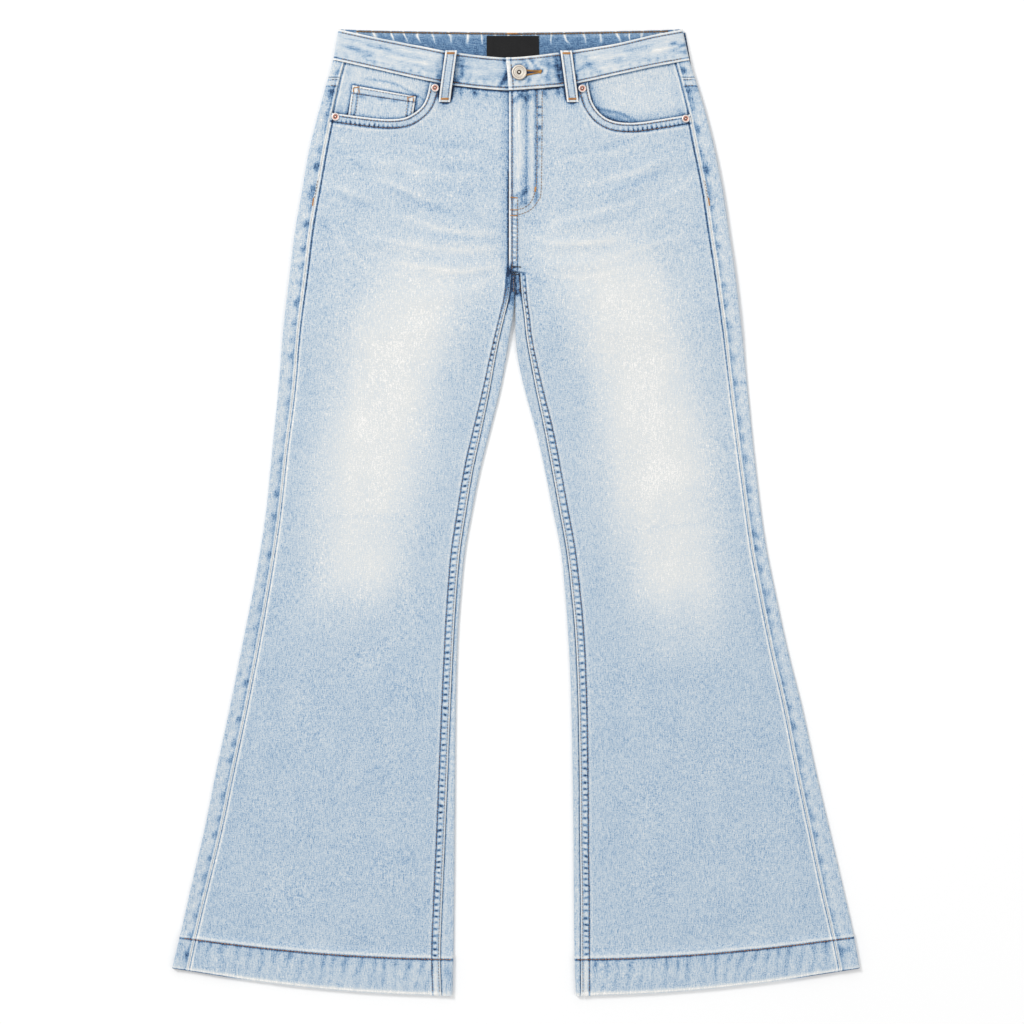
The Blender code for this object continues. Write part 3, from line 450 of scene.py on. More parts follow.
def back_grid(leg, levels, row_y, has_inner_fold):
    """The outside face of the back, with how far each point of a strip on top is from its seam."""
    parts = [("side_strip", t) for t in STRIP_STEPS] + [("side_fold", t) for t in FOLD_STEPS]
    parts += [("under", t) for t in UNDER_STEPS]
    if has_inner_fold:
        parts += [("inner_fold", t) for t in FOLD_STEPS[1:]] + [("inner_strip", t) for t in 1 - STRIP_STEPS[::-1]]
    columns = []
    for part, t in parts:
        y = levels.astype(float)
        on_top = part.endswith("strip") or (part == "side_fold" and t < 0.5)
        for _ in range(3):
            edge, low = outline(leg, y), seat_lift(y)
            side_r = fold_radius(leg, edge - 2.5, y)
            inner_edge = inner(leg, y)
            inner_r = fold_radius(leg, inner_edge + 2.5, y)
            end = np.where(y < FORK_LEVEL + 1, inner_edge + inner_r, centre_back(leg, y))
            turn = math.pi * t
            seam, away = side_seam(leg, y) + SEAM_GAP / 2, np.full(y.shape, 99.0)
            if part == "side_strip":
                out = blend(seam, edge - side_r, t)
                z, away = top_height(leg, out, y), out - seam
            elif part == "side_fold":
                out = edge - side_r + side_r * math.sin(turn)
                z = low + side_r + side_r * math.cos(turn)
                away = out - seam if t < 0.5 else away
            elif part == "under":
                out, z = blend(edge - side_r, end, t), low
            elif part == "inner_fold":
                out = inner_edge + inner_r - inner_r * math.sin(turn)
                z = low + inner_r - inner_r * math.cos(turn)
                away = inseam(leg, y) - SEAM_GAP / 2 - out if t > 0.5 else away
            else:
                seam = inseam(leg, y) - SEAM_GAP / 2
                out = blend(inner_edge + inner_r, seam, t)
                z, away = top_height(leg, out, y), seam - out
            y = row_y(leg, out, levels, on_top)
        columns.append((out, y, z, away))
    kinds = np.array([part for part, _ in parts])
    return (*[np.stack([column[i] for column in columns], 1) for i in range(4)], kinds)


def back_y(leg, out, level, on_top):
    share = np.maximum((level - TOP_REACH) / (YOKE_LEVEL - TOP_REACH), 0)
    seam = YOKE_LEVEL if on_top else smooth(YOKE_SEAM, 1, out / outline(leg, YOKE_LEVEL))
    return level + share * share * (seam - SEAM_GAP / 2 - YOKE_LEVEL) + hem_bend(out, level)


# The strips of the back that lie on top. Puckers: how far apart, and what they are drawn from
STRIP_PITCH, STRIP_SEED, HEM_PITCH, HEM_SEED, HEM_ROW = 21, {"left": 11, "right": 12}, 15, 31, -466.2
STRIP_RELIEF = [(-0.12, 0, 0.6), (0.2, 1.4, 1.2)]
# Along the side strips: pale rubbed bands, and a dark line beside the seam's ridge that is partly unworn indigo
# and partly painted shade
STRIP_LINES = [(0.10, 9, 3), (0.28, 0.6, 1.2), (-0.22, 2.8, 0.9)]
STRIP_STAINS = [(-0.26, 382, 7), (-0.26, 350, 7), (-0.26, 456, 8)]
# Along the inner strips: a line of painted shadow under the front's ridge at the inseam, and a faint pale line
# beyond it
INNER_STRIP_LINES = [(-0.34, 0.3, 0.9), (0.08, 3, 1.6)]
# Back hem: the dark groove of the stitched row, partly painted shade, a pale line above it and a rubbed edge
BACK_HEM_LINES = [(-0.56, HEM_ROW - 0.2, 1.0), (0.22, -464.0, 1.2), (0.24, HEM_LEVEL + 1.2, 1.8)]
# Below the yoke seam: a pale lapped edge, a broad blue band, and the dark grooves of the two stitched rows,
# partly painted shade
YOKE_LAP_LINES = [(0.22, 1, 1.2), (-0.20, 14, 3), (-0.35, 2.6, 0.9), (-0.45, 9.6, 1.0)]


def strip_relief(leg, y, away):
    """The puckers that the side seam draws along the back's strip."""
    return 0.35 * pulses(y, STRIP_PITCH, STRIP_SEED[leg]) * hump(away, 6, 5) + lines(away, STRIP_RELIEF)


def strip_tone(leg, out, y, away):
    depth = blend(0.34, 0.46, eased(y, 120, 300))
    tone = 0.70 - 0.05 * eased(-y, -250, 100) + lines(away, STRIP_LINES)
    tone = tone + lines(y, STRIP_STAINS) * hump(away, 6, 5)
    tone = tone - depth * pulses(y, STRIP_PITCH, STRIP_SEED[leg], 0.22) * hump(away, 5.5, 3.4)
    return tone + 0.04 * ripple(out / 12, y / 9, STRIP_SEED[leg])


denim_body = denim("washed_denim")
BACK_LEVELS = np.concatenate([LEG_LEVELS, np.arange(400, 462, 2.5), np.arange(462, 478, 1.0), [478.4, 479]])
for leg in SIGN:
    out, y, z, away, kinds = back_grid(leg, BACK_LEVELS, back_y, True)
    on_side = np.isin(kinds, ("side_strip", "side_fold"))[None, :] & (away < 90)
    on_inner = np.isin(kinds, ("inner_strip", "inner_fold"))[None, :] & (away < 90)
    z = z + np.where(on_side, strip_relief(leg, y, away), 0) - np.where(on_inner, 0.4 * hump(away, 0, 0.9), 0)
    tone = np.where(on_side, strip_tone(leg, out, y, away), 0.64 + 0.03 * ripple(out / 60, y / 90, 5))
    # The inner strips have a line of painted shadow under the inseam's ridge, and painted shade at the
    # fork, where the seam's end stands up as a small tab
    fork_shade = 0.10 * eased(y, 215, 240) * (1 + ripple(out / 5, y / 7, 25))
    if leg == "right":
        fork_shade = fork_shade + 0.34 * eased(y, 237, 241) + 0.20 * hump(y, 243, 3)
    else:
        fork_shade = fork_shade + 0.50 * eased(y, 212, 252)
    tone = np.where(on_inner, 0.66 + lines(away, INNER_STRIP_LINES) - fork_shade, tone)
    level = level_of(out, y)
    roping = pulses(out - 0.4 * level, HEM_PITCH, HEM_SEED)
    z = z + 0.18 * roping * hump(level, -487, 12) * (on_side | on_inner)
    tone = tone + lines(level, BACK_HEM_LINES) - 0.20 * roping * hump(level, -480, 9)
    tone = tone - 0.8 * hump(level, HEM_LEVEL, 0.9) * eased(out, 290, 330)
    below_yoke = smooth(YOKE_SEAM, 1, out / outline(leg, YOKE_LEVEL)) - y
    tone = tone + lines(np.where(on_side, YOKE_LEVEL - y, below_yoke), YOKE_LAP_LINES)
    keep = ~(np.char.startswith(kinds, "inner")[None, :] & (BACK_LEVELS[:, None] > FORK_LEVEL + 0.1))
    share = np.where(BACK_LEVELS[:, None] <= HEM_LEVEL + HEM_DEPTH, 1.0, 0.5)
    cloth(
        f"back_{leg}_cloth", SIGN[leg] * out, y, z, tone, 2 * DENIM, [denim_body], flip=leg == "left",
        keep=np.broadcast_to(keep, y.shape), doubled=share,
    )
    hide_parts(f"back_{leg}")


# The yokes: the shaped pieces above the back panels, of the same denim, which roll round the side
# and meet the front at the side seam. Their lower edge is lapped and stitched twice.
def yoke_y(leg, out, level, on_top):
    if on_top:
        band, seam = smooth(BAND_FRONT, 2, SIGN[leg] * out), YOKE_LEVEL
    else:
        band = smooth(BACK_BOTTOM, 1, out / outline(leg, BAND_LEVEL))
        seam = smooth(YOKE_SEAM, 1, out / outline(leg, YOKE_LEVEL))
    share = (level - YOKE_LEVEL) / (BAND_LEVEL - YOKE_LEVEL)
    return blend(seam + SEAM_GAP / 2, band - SEAM_GAP / 2, share)


YOKE_SHARES = np.array([0, 0.03, 0.07, 0.12, 0.2, 0.3, 0.4, 0.5, 0.6, 0.7, 0.8, 0.87, 0.93, 0.97, 1])
YOKE_LEVELS = YOKE_LEVEL + (BAND_LEVEL - YOKE_LEVEL) * YOKE_SHARES
# Up the yoke: a dark line at its foot along the lapped seam and one at its top under the band's edge, partly
# unworn indigo and partly painted shade, with a pale line just above the foot
YOKE_LINES = [(-0.35, 0, 0.05), (0.14, 0.12, 0.08), (-0.30, 1, 0.09)]
for leg in SIGN:
    out, y, z, away, kinds = back_grid(leg, YOKE_LEVELS, yoke_y, False)
    on_side = away < 90
    z = z + np.where(on_side, strip_relief(leg, y, away), 0)
    tone = np.where(on_side, strip_tone(leg, out, y, away), 0.66) + lines(YOKE_SHARES[:, None], YOKE_LINES)
    yoke = cloth(f"yoke_{leg}_cloth", SIGN[leg] * out, y, z, tone, DENIM, [denim_body], flip=leg == "left")
    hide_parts(f"yoke_{leg}")


# The two front panels, waist to hem, each with a scooped pocket opening. The right one laps over
# the left one down the centre front. The thighs are rubbed pale and the lap of the leg is creased.
LAP_X, UNDER_X, FLY_END, FLY_FADE, ZIP_X, SLIDER_Y = -7.7, -4.2, 337.0, 12.0, 3.3, 455.0
FRONT_EDGE = {"left": -UNDER_X, "right": LAP_X}
FLY_RISE = [(0, 1.6), (5, 1.9), (8, 2.4), (14, 2.4), (19, 1.8), (25, 1.5), (32, 0.6), (45, 0)]
CENTRE_RISE = [(0, 1.6), (7, 1.5), (14, 0.4), (25, 0)]
SLIDER_BUMP, SLIDER_BUMP_X, SLIDER_BUMP_Y = 1.8, 9.0, 13.0
INSEAM_RIDGE, RIDGE_WIDTH, RIDGE_EDGE = 0.7, 7.5, 2.0
POCKET_RISE, POCKET_REACH = {"left": 2.0, "right": 1.3}, 20.0
OPENING = {
    "left": [
        (94.9, 471.5), (97.9, 458), (103.4, 447), (114.6, 438), (125.8, 433.8), (145.4, 433), (173.5, 436),
        (200, 439.5),
    ],
    "right": [
        (79.2, 470.8), (83.4, 452.5), (93.3, 438.5), (105.8, 431.4), (122.8, 429), (143.8, 430.5), (190, 438),
    ],
}
# The folds of the solids: out, y, to out, to y, rise, reach
CREASES = [
    (18, 270, 108, 274, 1.3, 8), (20, 294, 112, 303, 1.2, 8), (24, 309, 110, 326, 1.1, 7),
    (95, 349, 150, 363, 0.9, 7), (120, 379, 184, 388, 0.9, 7), (110, 298, 196, 296, 0.9, 8),
    (150, 344, 206, 357, 0.8, 7), (30, 244, 130, 232, 0.9, 9), (60, 205, 170, 196, 0.7, 10),
]
# The finer whiskers of wear on each thigh: the places that one runs through, then how pale, below 0
# for the blue troughs between them, and how wide
WHISKERS = {
    "left": [
        ([(-173, 393), (-124, 381), (-93, 375)], 0.07, 5), ([(-187, 391), (-175, 382), (-159, 373)], -0.10, 3),
        ([(-155, 371), (-133, 361), (-109, 350), (-84, 341)], 0.12, 3.2),
        ([(-147, 360), (-125, 350), (-99, 338), (-70, 331)], -0.11, 4),
        ([(-217, 363), (-191, 357), (-173, 349), (-151, 342)], 0.13, 2.4),
        ([(-207, 355), (-177, 343), (-147, 335)], -0.08, 3.2),
        ([(-141, 332), (-111, 323), (-85, 313), (-49, 308), (-13, 307)], 0.14, 3),
        ([(-123, 311), (-85, 305), (-45, 301), (-15, 301)], -0.12, 4),
        ([(-103, 337), (-65, 329), (-15, 315)], -0.08, 5),
        ([(-163, 305), (-123, 297), (-85, 291), (-49, 289), (-11, 294)], 0.12, 3),
        ([(-119, 283), (-75, 278), (-35, 280)], -0.08, 5),
        ([(-141, 278), (-99, 270), (-59, 265), (-25, 272), (-9, 277)], 0.13, 2.6),
        ([(-85, 258), (-51, 258), (-25, 265)], -0.06, 5), ([(-51, 241), (-31, 258), (-13, 270)], 0.06, 3),
        ([(-199, 309), (-187, 292), (-173, 278), (-157, 261)], 0.10, 2.6),
        ([(-115, 410), (-85, 405), (-49, 405), (-25, 402)], -0.08, 4),
        ([(-93, 385), (-69, 379), (-31, 379)], -0.07, 5), ([(-129, 377), (-85, 372), (-31, 371)], 0.06, 4.5),
        ([(-85, 361), (-55, 356), (-25, 358)], -0.06, 5), ([(-213, 329), (-212, 320), (-210, 309)], -0.09, 6),
        ([(-201, 419), (-192, 412), (-183, 404)], 0.10, 2.4), ([(-218, -6), (-166, -4), (-113, -7)], -0.07, 3),
    ],
    "right": [
        ([(44, 387), (86, 394), (110, 398), (144, 412)], 0.08, 4),
        ([(46, 396), (88, 400), (121, 407), (142, 419)], -0.08, 3.2),
        ([(66, 360), (90, 365), (120, 372), (144, 381), (168, 395)], 0.12, 3),
        ([(98, 351), (124, 361), (150, 371), (174, 383)], -0.10, 4),
        ([(140, 337), (164, 349), (184, 361), (200, 375)], 0.09, 3),
        ([(34, 321), (68, 326), (96, 334), (124, 341), (160, 353)], 0.12, 3),
        ([(44, 312), (76, 317), (106, 324), (140, 329)], -0.07, 4),
        ([(124, 315), (154, 329), (174, 341)], 0.07, 3),
        ([(10, 305), (36, 298), (74, 297), (106, 301), (130, 305)], 0.14, 3),
        ([(36, 290), (80, 290), (115, 294)], -0.06, 3),
        ([(86, 275), (124, 287), (160, 299), (190, 308)], 0.10, 3), ([(14, 283), (26, 283), (44, 280)], 0.08, 3),
        ([(18, 268), (34, 266), (52, 260), (93, 261), (124, 273)], 0.09, 2.6),
        ([(32, 265), (42, 251), (46, 236)], 0.06, 2.6), ([(19, 261), (26, 254), (33, 249)], -0.10, 5),
        ([(9, 323), (18, 320), (29, 316)], -0.14, 3), ([(162, 334), (168, 331), (174, 329)], -0.07, 4),
        ([(156, 275), (170, 262), (184, 246)], -0.04, 10), ([(123, -20), (170, -15), (222, -8)], -0.09, 3),
    ],
}
# How washed the legs are. y, tone
LEG_WASH = [
    (-520, 0.632), (-200, 0.635), (-129, 0.65), (0, 0.67), (100, 0.68), (234, 0.69), (330, 0.70), (500, 0.71),
]
# The pale fade down each thigh. y, middle, half width, how pale
FADES = {
    "left": [
        (-160, 184, 45, 0), (-129, 182, 45, 0.03), (-96, 180, 46, 0.13), (-63, 173, 47, 0.245),
        (-30, 171, 48, 0.235), (14, 165, 51, 0.25), (58, 158, 55, 0.27), (146, 138, 53, 0.265),
        (190, 127, 57, 0.26), (234, 111, 60, 0.23), (267, 91, 66, 0.17), (300, 83, 70, 0.08), (340, 80, 70, 0),
    ],
    "right": [
        (-175, 184, 44, 0), (-129, 182, 45, 0.10), (-96, 178, 47, 0.20), (-63, 174, 49, 0.27),
        (-30, 167, 52, 0.245), (14, 158, 55, 0.27), (58, 156, 58, 0.275), (146, 138, 54, 0.265),
        (190, 127, 57, 0.255), (234, 114, 57, 0.25), (267, 108, 62, 0.22), (300, 82, 66, 0.11), (345, 78, 70, 0),
    ],
}
FADE_EDGE = 3.2
OUTER_STEPS = np.array([0, 0.5, 1, 1.5, 2, 2.6, 3.2, 4, 5, 6.5, 8.5, 11])
INNER_STEPS = np.array([
    0, 0.5, 1, 1.5, 2, 2.6, 3.4, 4.4, 5.4, 6.4, 7.2, 8, 8.8, 9.6, 10.6, 12, 14, 16.5, 19, 22, 25.5, 29.5, 34,
    39, 45,
])
MIDDLE_SHARES = np.concatenate([np.arange(1, 30) / 39, np.arange(0.76, 0.925, 0.008), [0.945, 0.97]])
TOP_STEPS = np.array([0, 0.5, 1, 1.5, 2, 2.6, 3.2, 4, 5, 6.2, 7.4, 8.4, 9.4, 10.8, 12.5, 15])
TOP_SHARES = np.concatenate([np.linspace(0, 0.82, 15)[1:], np.linspace(0.82, 1, 11)[1:]])


def curve_through(points, per_span):
    """Points of the smooth open curve that the solids' openings follow."""
    given = np.array(points, float)
    ends = np.concatenate([given[:1], given, given[-1:]])
    found = []
    for a, b, c, d in zip(ends, ends[1:], ends[2:], ends[3:]):
        for step in range(per_span):
            t = step / per_span
            bend = (2 * a - 5 * b + 4 * c - d) * t * t + (3 * b - a - 3 * c + d) * t ** 3
            found.append((2 * b + (c - a) * t + bend) / 2)
    return np.array(found + [given[-1]])


def distance_to(path, x, y):
    """Distance from places to the nearest stretch of a path, and how far along it that is."""
    best, where, run = np.full(np.shape(x), 1e9), np.zeros(np.shape(x)), 0.0
    for (ax, ay), (bx, by) in zip(path[:-1], path[1:]):
        length = math.hypot(bx - ax, by - ay)
        t = np.clip(((x - ax) * (bx - ax) + (y - ay) * (by - ay)) / length ** 2, 0, 1)
        away = np.hypot(x - blend(ax, bx, t), y - blend(ay, by, t))
        where = np.where(away < best, run + t * length, where)
        best = np.minimum(best, away)
        run += length
    return best, where


def places_at(path, run, at):
    """The places of a path at some lengths along it, where run is the length at each of its own."""
    return np.stack([np.interp(at, run, column) for column in path.T], 1)


def lengths_along(path):
    return np.concatenate([[0], np.cumsum(np.linalg.norm(np.diff(path, axis=0), axis=1))])


def crosswise(path):
    """The way across a path at each of its places, to the side that the panel is on."""
    tangent = np.gradient(path, axis=0)
    return np.stack([tangent[:, 1], -tangent[:, 0]], 1) / np.hypot(*tangent.T)[:, None]


def front_edge(leg, y):
    return blend(inseam(leg, y) + SEAM_GAP / 2, FRONT_EDGE[leg], eased(y, FORK_LEVEL, FORK_LEVEL + FORK_CORNER))


def front_y(leg, out, level):
    share = np.maximum((level - TOP_REACH) / (BAND_LEVEL - TOP_REACH), 0)
    seam = smooth(BAND_FRONT, 2, SIGN[leg] * out) - SEAM_GAP / 2
    return level + share * share * (seam - BAND_LEVEL) + hem_bend(out, level)


def crease_rise(leg, out, y):
    found = 0.0
    for at, at_y, to, to_y, rise, reach in CREASES:
        run_x, run_y = to - at, to_y - at_y
        t = np.clip(((out - at) * run_x + (y - at_y) * run_y) / (run_x ** 2 + run_y ** 2), 0, 1)
        away = np.hypot(out - at - run_x * t, y - at_y - run_y * t)
        found = found + rise * 4 * t * (1 - t) * hump(away, 0, reach)
    return found


def soft_line(places, per_span, reach, x, y):
    """A soft line through some places, which fades out towards both of its ends."""
    path = curve_through(places, per_span)
    length = np.hypot(*np.diff(path, axis=0).T).sum()
    away, along = distance_to(path, x, y)
    return np.clip(4 * (along / length) * (1 - along / length), 0, 1) ** 0.6 * hump(away, 0, reach)


def whiskers(leg, x, y):
    """How pale the whiskers leave a place: above 0 on their ridges, below 0 in the troughs."""
    return sum(pale * soft_line(places, 4, reach, x, y) for places, pale, reach in WHISKERS[leg])


def to_opening(leg, out, y):
    """How far a place is from the edge of the pocket opening, and how far along that edge."""
    return distance_to(curve_through(OPENING[leg], 3), out, y)


def fade(leg, out, y):
    middle, half, pale = [smooth(FADES[leg], column, y) for column in (1, 2, 3)]
    return pale * 0.5 ** (np.abs((out - middle) / half) ** FADE_EDGE)


def inner_row(leg, y):
    """How far the inner row of the inseam's stitching is from the front's edge."""
    return blend(9.2, 5.0, eased(y, 60, 215))


def fly_rise(x, y):
    away = np.maximum(x - LAP_X, 0)
    on_fly = eased(y, FLY_END - FLY_FADE, FLY_END + FLY_FADE)
    rise = blend(smooth(CENTRE_RISE, 1, away), smooth(FLY_RISE, 1, away), on_fly)
    bump = ((x - ZIP_X) / SLIDER_BUMP_X) ** 2 + ((y - SLIDER_Y) / SLIDER_BUMP_Y) ** 2
    return rise + SLIDER_BUMP * np.exp(-bump)


def front_solid(leg, out, y):
    """The solid's own outside height."""
    height = top_height(leg, out, y) + crease_rise(leg, out, y)
    away, _ = to_opening(leg, out, y)
    height = height + POCKET_RISE[leg] * hump(away, 0, POCKET_REACH)
    below_fork = 1 - eased(y, FORK_LEVEL - FORK_REACH, FORK_LEVEL)
    ridge = 1 - eased(out - front_edge(leg, y), RIDGE_WIDTH, RIDGE_WIDTH + RIDGE_EDGE)
    height = height + INSEAM_RIDGE * ridge * below_fork
    if leg == "right":
        height = height + fly_rise(out, y) * (1 - below_fork)
    return height


# Puckers of the fronts: what they are drawn from, and how far apart they are along each seam
FRONT_SEED = {"left": 40, "right": 50}
SIDE_PITCH, INSEAM_PITCH, OPENING_PITCH, ROPE_PITCH = 19, 6.8, 5.0, 14
SIDE_RELIEF = [(-0.12, 0, 0.6), (0.2, 1.4, 1.0), (-0.3, 3.2, 1.2)]
INSEAM_RELIEF = [(-0.5, 0, 0.6), (0.25, 1.2, 0.9)]
OPENING_RELIEF = [(-0.3, 0, 0.6), (0.3, 1.3, 0.9), (-0.2, 9.4, 0.9)]
HEM_RELIEF = [(-0.5, HEM_LEVEL, 0.7), (-0.22, HEM_ROW, 0.9)]


def front_places(leg, out, y):
    """How far a place is from the side seam, from the inseam or lap and from the opening, how far
    along the opening it is, and its level."""
    from_side, from_inner = side_seam(leg, y) - SEAM_GAP / 2 - out, out - front_edge(leg, y)
    return from_side, from_inner, *to_opening(leg, out, y), level_of(out, y)


def front_height(leg, out, y):
    """The same with the finer relief: seam grooves, puckers, rolled edges, whiskers and the hem's roping."""
    x, seed = SIGN[leg] * out, FRONT_SEED[leg]
    from_side, from_inner, opening, along, level = front_places(leg, out, y)
    below_fork = 1 - eased(y, FORK_LEVEL - FORK_REACH, FORK_LEVEL)
    z = front_solid(leg, out, y) + 0.25 * (1 + ripple(x / 95, y / 120, seed)) + 1.6 * whiskers(leg, x, y)
    z = z + lines(from_side, SIDE_RELIEF) + 0.22 * pulses(y, SIDE_PITCH, seed + 1) * hump(from_side, 6, 5)
    z = z + lines(from_inner, INSEAM_RELIEF)
    z = z - 0.35 * pulses(y, INSEAM_PITCH, seed + 2, 0.22) * hump(from_inner, 5.2, 2.0) * below_fork
    roping = pulses(x - 0.35 * level, ROPE_PITCH, seed + 4) * hump(level, -485, 14)
    drawn = pulses(along, OPENING_PITCH, seed + 3) * hump(opening, 5.5, 2.2)
    return z + lines(opening, OPENING_RELIEF) + 0.2 * drawn + lines(level, HEM_RELIEF) + 0.3 * roping


FRONT_LOOPS = {"left": (-71.1, -78.8), "right": (54.9, 62.5)}
LOOP_WIDTH, LOOP_LONG, LOOP_FOOT_Y = 12.6, 56.0, 451.7


def loop_reach(x, y):
    """How far a place is outside the nearer front belt loop."""
    found = 1e9
    for top_x, foot_x in FRONT_LOOPS.values():
        low_x = blend(foot_x, top_x, LOOP_WIDTH / 2 / LOOP_LONG)
        away, _ = distance_to([(low_x, LOOP_FOOT_Y + LOOP_WIDTH / 2), (top_x, LOOP_FOOT_Y + LOOP_LONG)], x, y)
        found = np.minimum(found, away - LOOP_WIDTH / 2)
    return found


# The zip's ridges through the fly and the blue between them, from the lap's edge
ZIP_LINES = [
    (0.18, 10.5, 3.4), (-0.30, 18.8, 2.2), (0.22, 24.5, 2.0), (-0.34, 29.4, 1.3), (-0.40, 30.8, 0.7),
    (0.10, 33.6, 1.6), (-0.40, 36.4, 0.7),
]
# Below the zip, beside the crotch seam: a broad dark band and the dark groove of its row, partly painted shade
CROTCH_LINES = [(-0.24, 6.0, 2.0), (-0.40, 9.4, 0.9)]
OPENING_LINES = [(0.30, 0.9, 1.2), (-0.55, 2.8, 0.7), (-0.60, 9.7, 1.0), (0.04, 6.6, 2.2), (0.16, 12.2, 1.4)]
WAIST_LINES = [(-0.78, 0, 1.9), (-0.08, 5, 6)]
HEM_LINES = [(0.36, HEM_LEVEL + 1.8, 1.9), (-0.60, HEM_ROW - 0.2, 1.1), (0.26, -463.8, 1.4), (0.05, -484, 15)]
HEM_PUCKERS = [(0.19, -472, 7), (0.10, -488, 10)]


def inseam_tone(leg, y, from_inner):
    """A pale edge, puckers between the two rows, and navy lines at the ridge's rows, partly unworn indigo
    and partly painted shade. Near the fork on the left leg the part between the rows is painted shade.
    """
    row = inner_row(leg, y)
    plain = eased(y, 205, 228) if leg == "left" else 0.0
    ridge = 0.28 * hump(from_inner, 0.6, 1.0) * (1 - eased(y, 226, 240)) - 0.20 * hump(from_inner, 1.9, 0.6)
    ridge = ridge - 0.54 * hump(from_inner, row, 0.8) + 0.15 * hump(from_inner, row + 2.1, 1.1)
    return ridge + (0.24 - 0.44 * plain) * hump(from_inner, 0.5 * (row + 2.2), 0.27 * (row - 2.2))


def fly_tone(x, y, from_inner):
    """The rubbed edge of the lap and its row's dark groove, partly painted shade, the zip's ridges and
    creases, the crotch seam below them, and painted shade at the fork.
    """
    at_fork, on_zip = hump(y, 262, 11), eased(y, 330, 346)
    fly = 0.34 * hump(from_inner, 0.9, 1.2) * (1 - at_fork) - 0.60 * hump(from_inner, 3.3, 1.0)
    streaks = 0.10 * ripple(x / 3.0, y / 60, 79) * hump(from_inner, 12, 7)
    fly = fly + on_zip * (lines(from_inner, ZIP_LINES) + streaks)
    blotch = hump(y, 349, 15) * hump(from_inner, 14, 9) + hump(y, 457, 8) * hump(from_inner, 15, 15)
    fly = fly - 0.50 * blotch * np.clip(0.5 + 0.7 * ripple(x / 9, y / 12, 77), 0, 0.9)
    fly = fly + (1 - on_zip) * lines(from_inner, CROTCH_LINES)
    return fly - 0.30 * at_fork * (1 - eased(from_inner, 6, 12))


def front_tone(leg, out, y):
    x = SIGN[leg] * out
    from_side, from_inner, opening, along, level = front_places(leg, out, y)
    above_fork = eased(y, FORK_LEVEL - 6, FORK_LEVEL + 6)
    faded = fade(leg, out, y)
    tone = smooth(LEG_WASH, 1, y) + 0.012 * ripple(x / 40, y / 60, FRONT_SEED[leg])
    tone = tone + faded + whiskers(leg, x, y) * (1 - 0.4 * np.clip(faded / 0.25, 0, 1))
    # Side seam: a pale edge, then the navy line of the seam allowance, partly unworn indigo and partly
    # painted shade, deeper towards the pocket
    high = eased(y, 60, 330)
    navy = blend(1.7, 3.2, high)
    tone = tone + lines(from_side, [(0.30, 0.2, 1.1), (blend(0.36, 0.10, high), navy + 1.7, 1.0)])
    tone = tone - blend(0.46, 0.72, high) * hump(from_side, navy, blend(0.55, 1.0, high))
    tone = tone - 0.06 * pulses(y, SIDE_PITCH, FRONT_SEED[leg] + 1) * hump(from_side, 10, 8)
    tone = tone + inseam_tone(leg, y, from_inner) * (1 - above_fork)
    if leg == "right":
        # Painted shade at the foot of the lap, and under the cross seam a dark groove that is partly painted
        # shade
        tone = tone - 0.60 * hump(y, 267, 6) * hump(x, -6, 3) - 0.5 * hump(y, 270.4, 1.1) * hump(x, 0, 6)
        tone = tone + fly_tone(x, y, from_inner) * above_fork
    else:
        # The left front is darkened with painted shade where the lap ends on it, more so low on the fly, and
        # at the fork
        lap = 0.38 + 0.5 * (1 - eased(y, 365, 385))
        tone = tone - above_fork * (lap * hump(from_inner, 3.5, 2.1) + 0.12 * hump(from_inner, 8.5, 4))
        at_fork = hump(y, 268, 6) * hump(from_inner, 2, 4) + hump(y, 254, 16) * hump(from_inner, 1, 5)
        tone = tone - 0.40 * at_fork
    # Pocket opening: a pale rolled edge and two stitched lines, their dark grooves partly painted shade,
    # darkest where the curve is tight
    tone = tone + lines(opening, OPENING_LINES) - 0.25 * hump(along, 95, 45) * hump(opening, 9.7, 1.4)
    # The shadows of the band and of the loops
    tone = tone + lines(smooth(BAND_FRONT, 2, x) - SEAM_GAP / 2 - y, WAIST_LINES)
    past_loop = np.maximum(loop_reach(x, y), 0)
    tone = tone - 0.80 * hump(past_loop, 0.8, 1.5) - 0.08 * hump(past_loop, 4, 4) * (y < 466)
    # Hem: a rubbed edge, the stitched line with its dark groove, partly painted shade, and a dark corner
    # outside
    tone = tone + lines(level, HEM_LINES) - 0.8 * hump(level, HEM_LEVEL, 0.9) * eased(out, 290, 330)
    return tone - 0.035 * hump(from_inner, 40, 28) * hump(y, 170, 90)


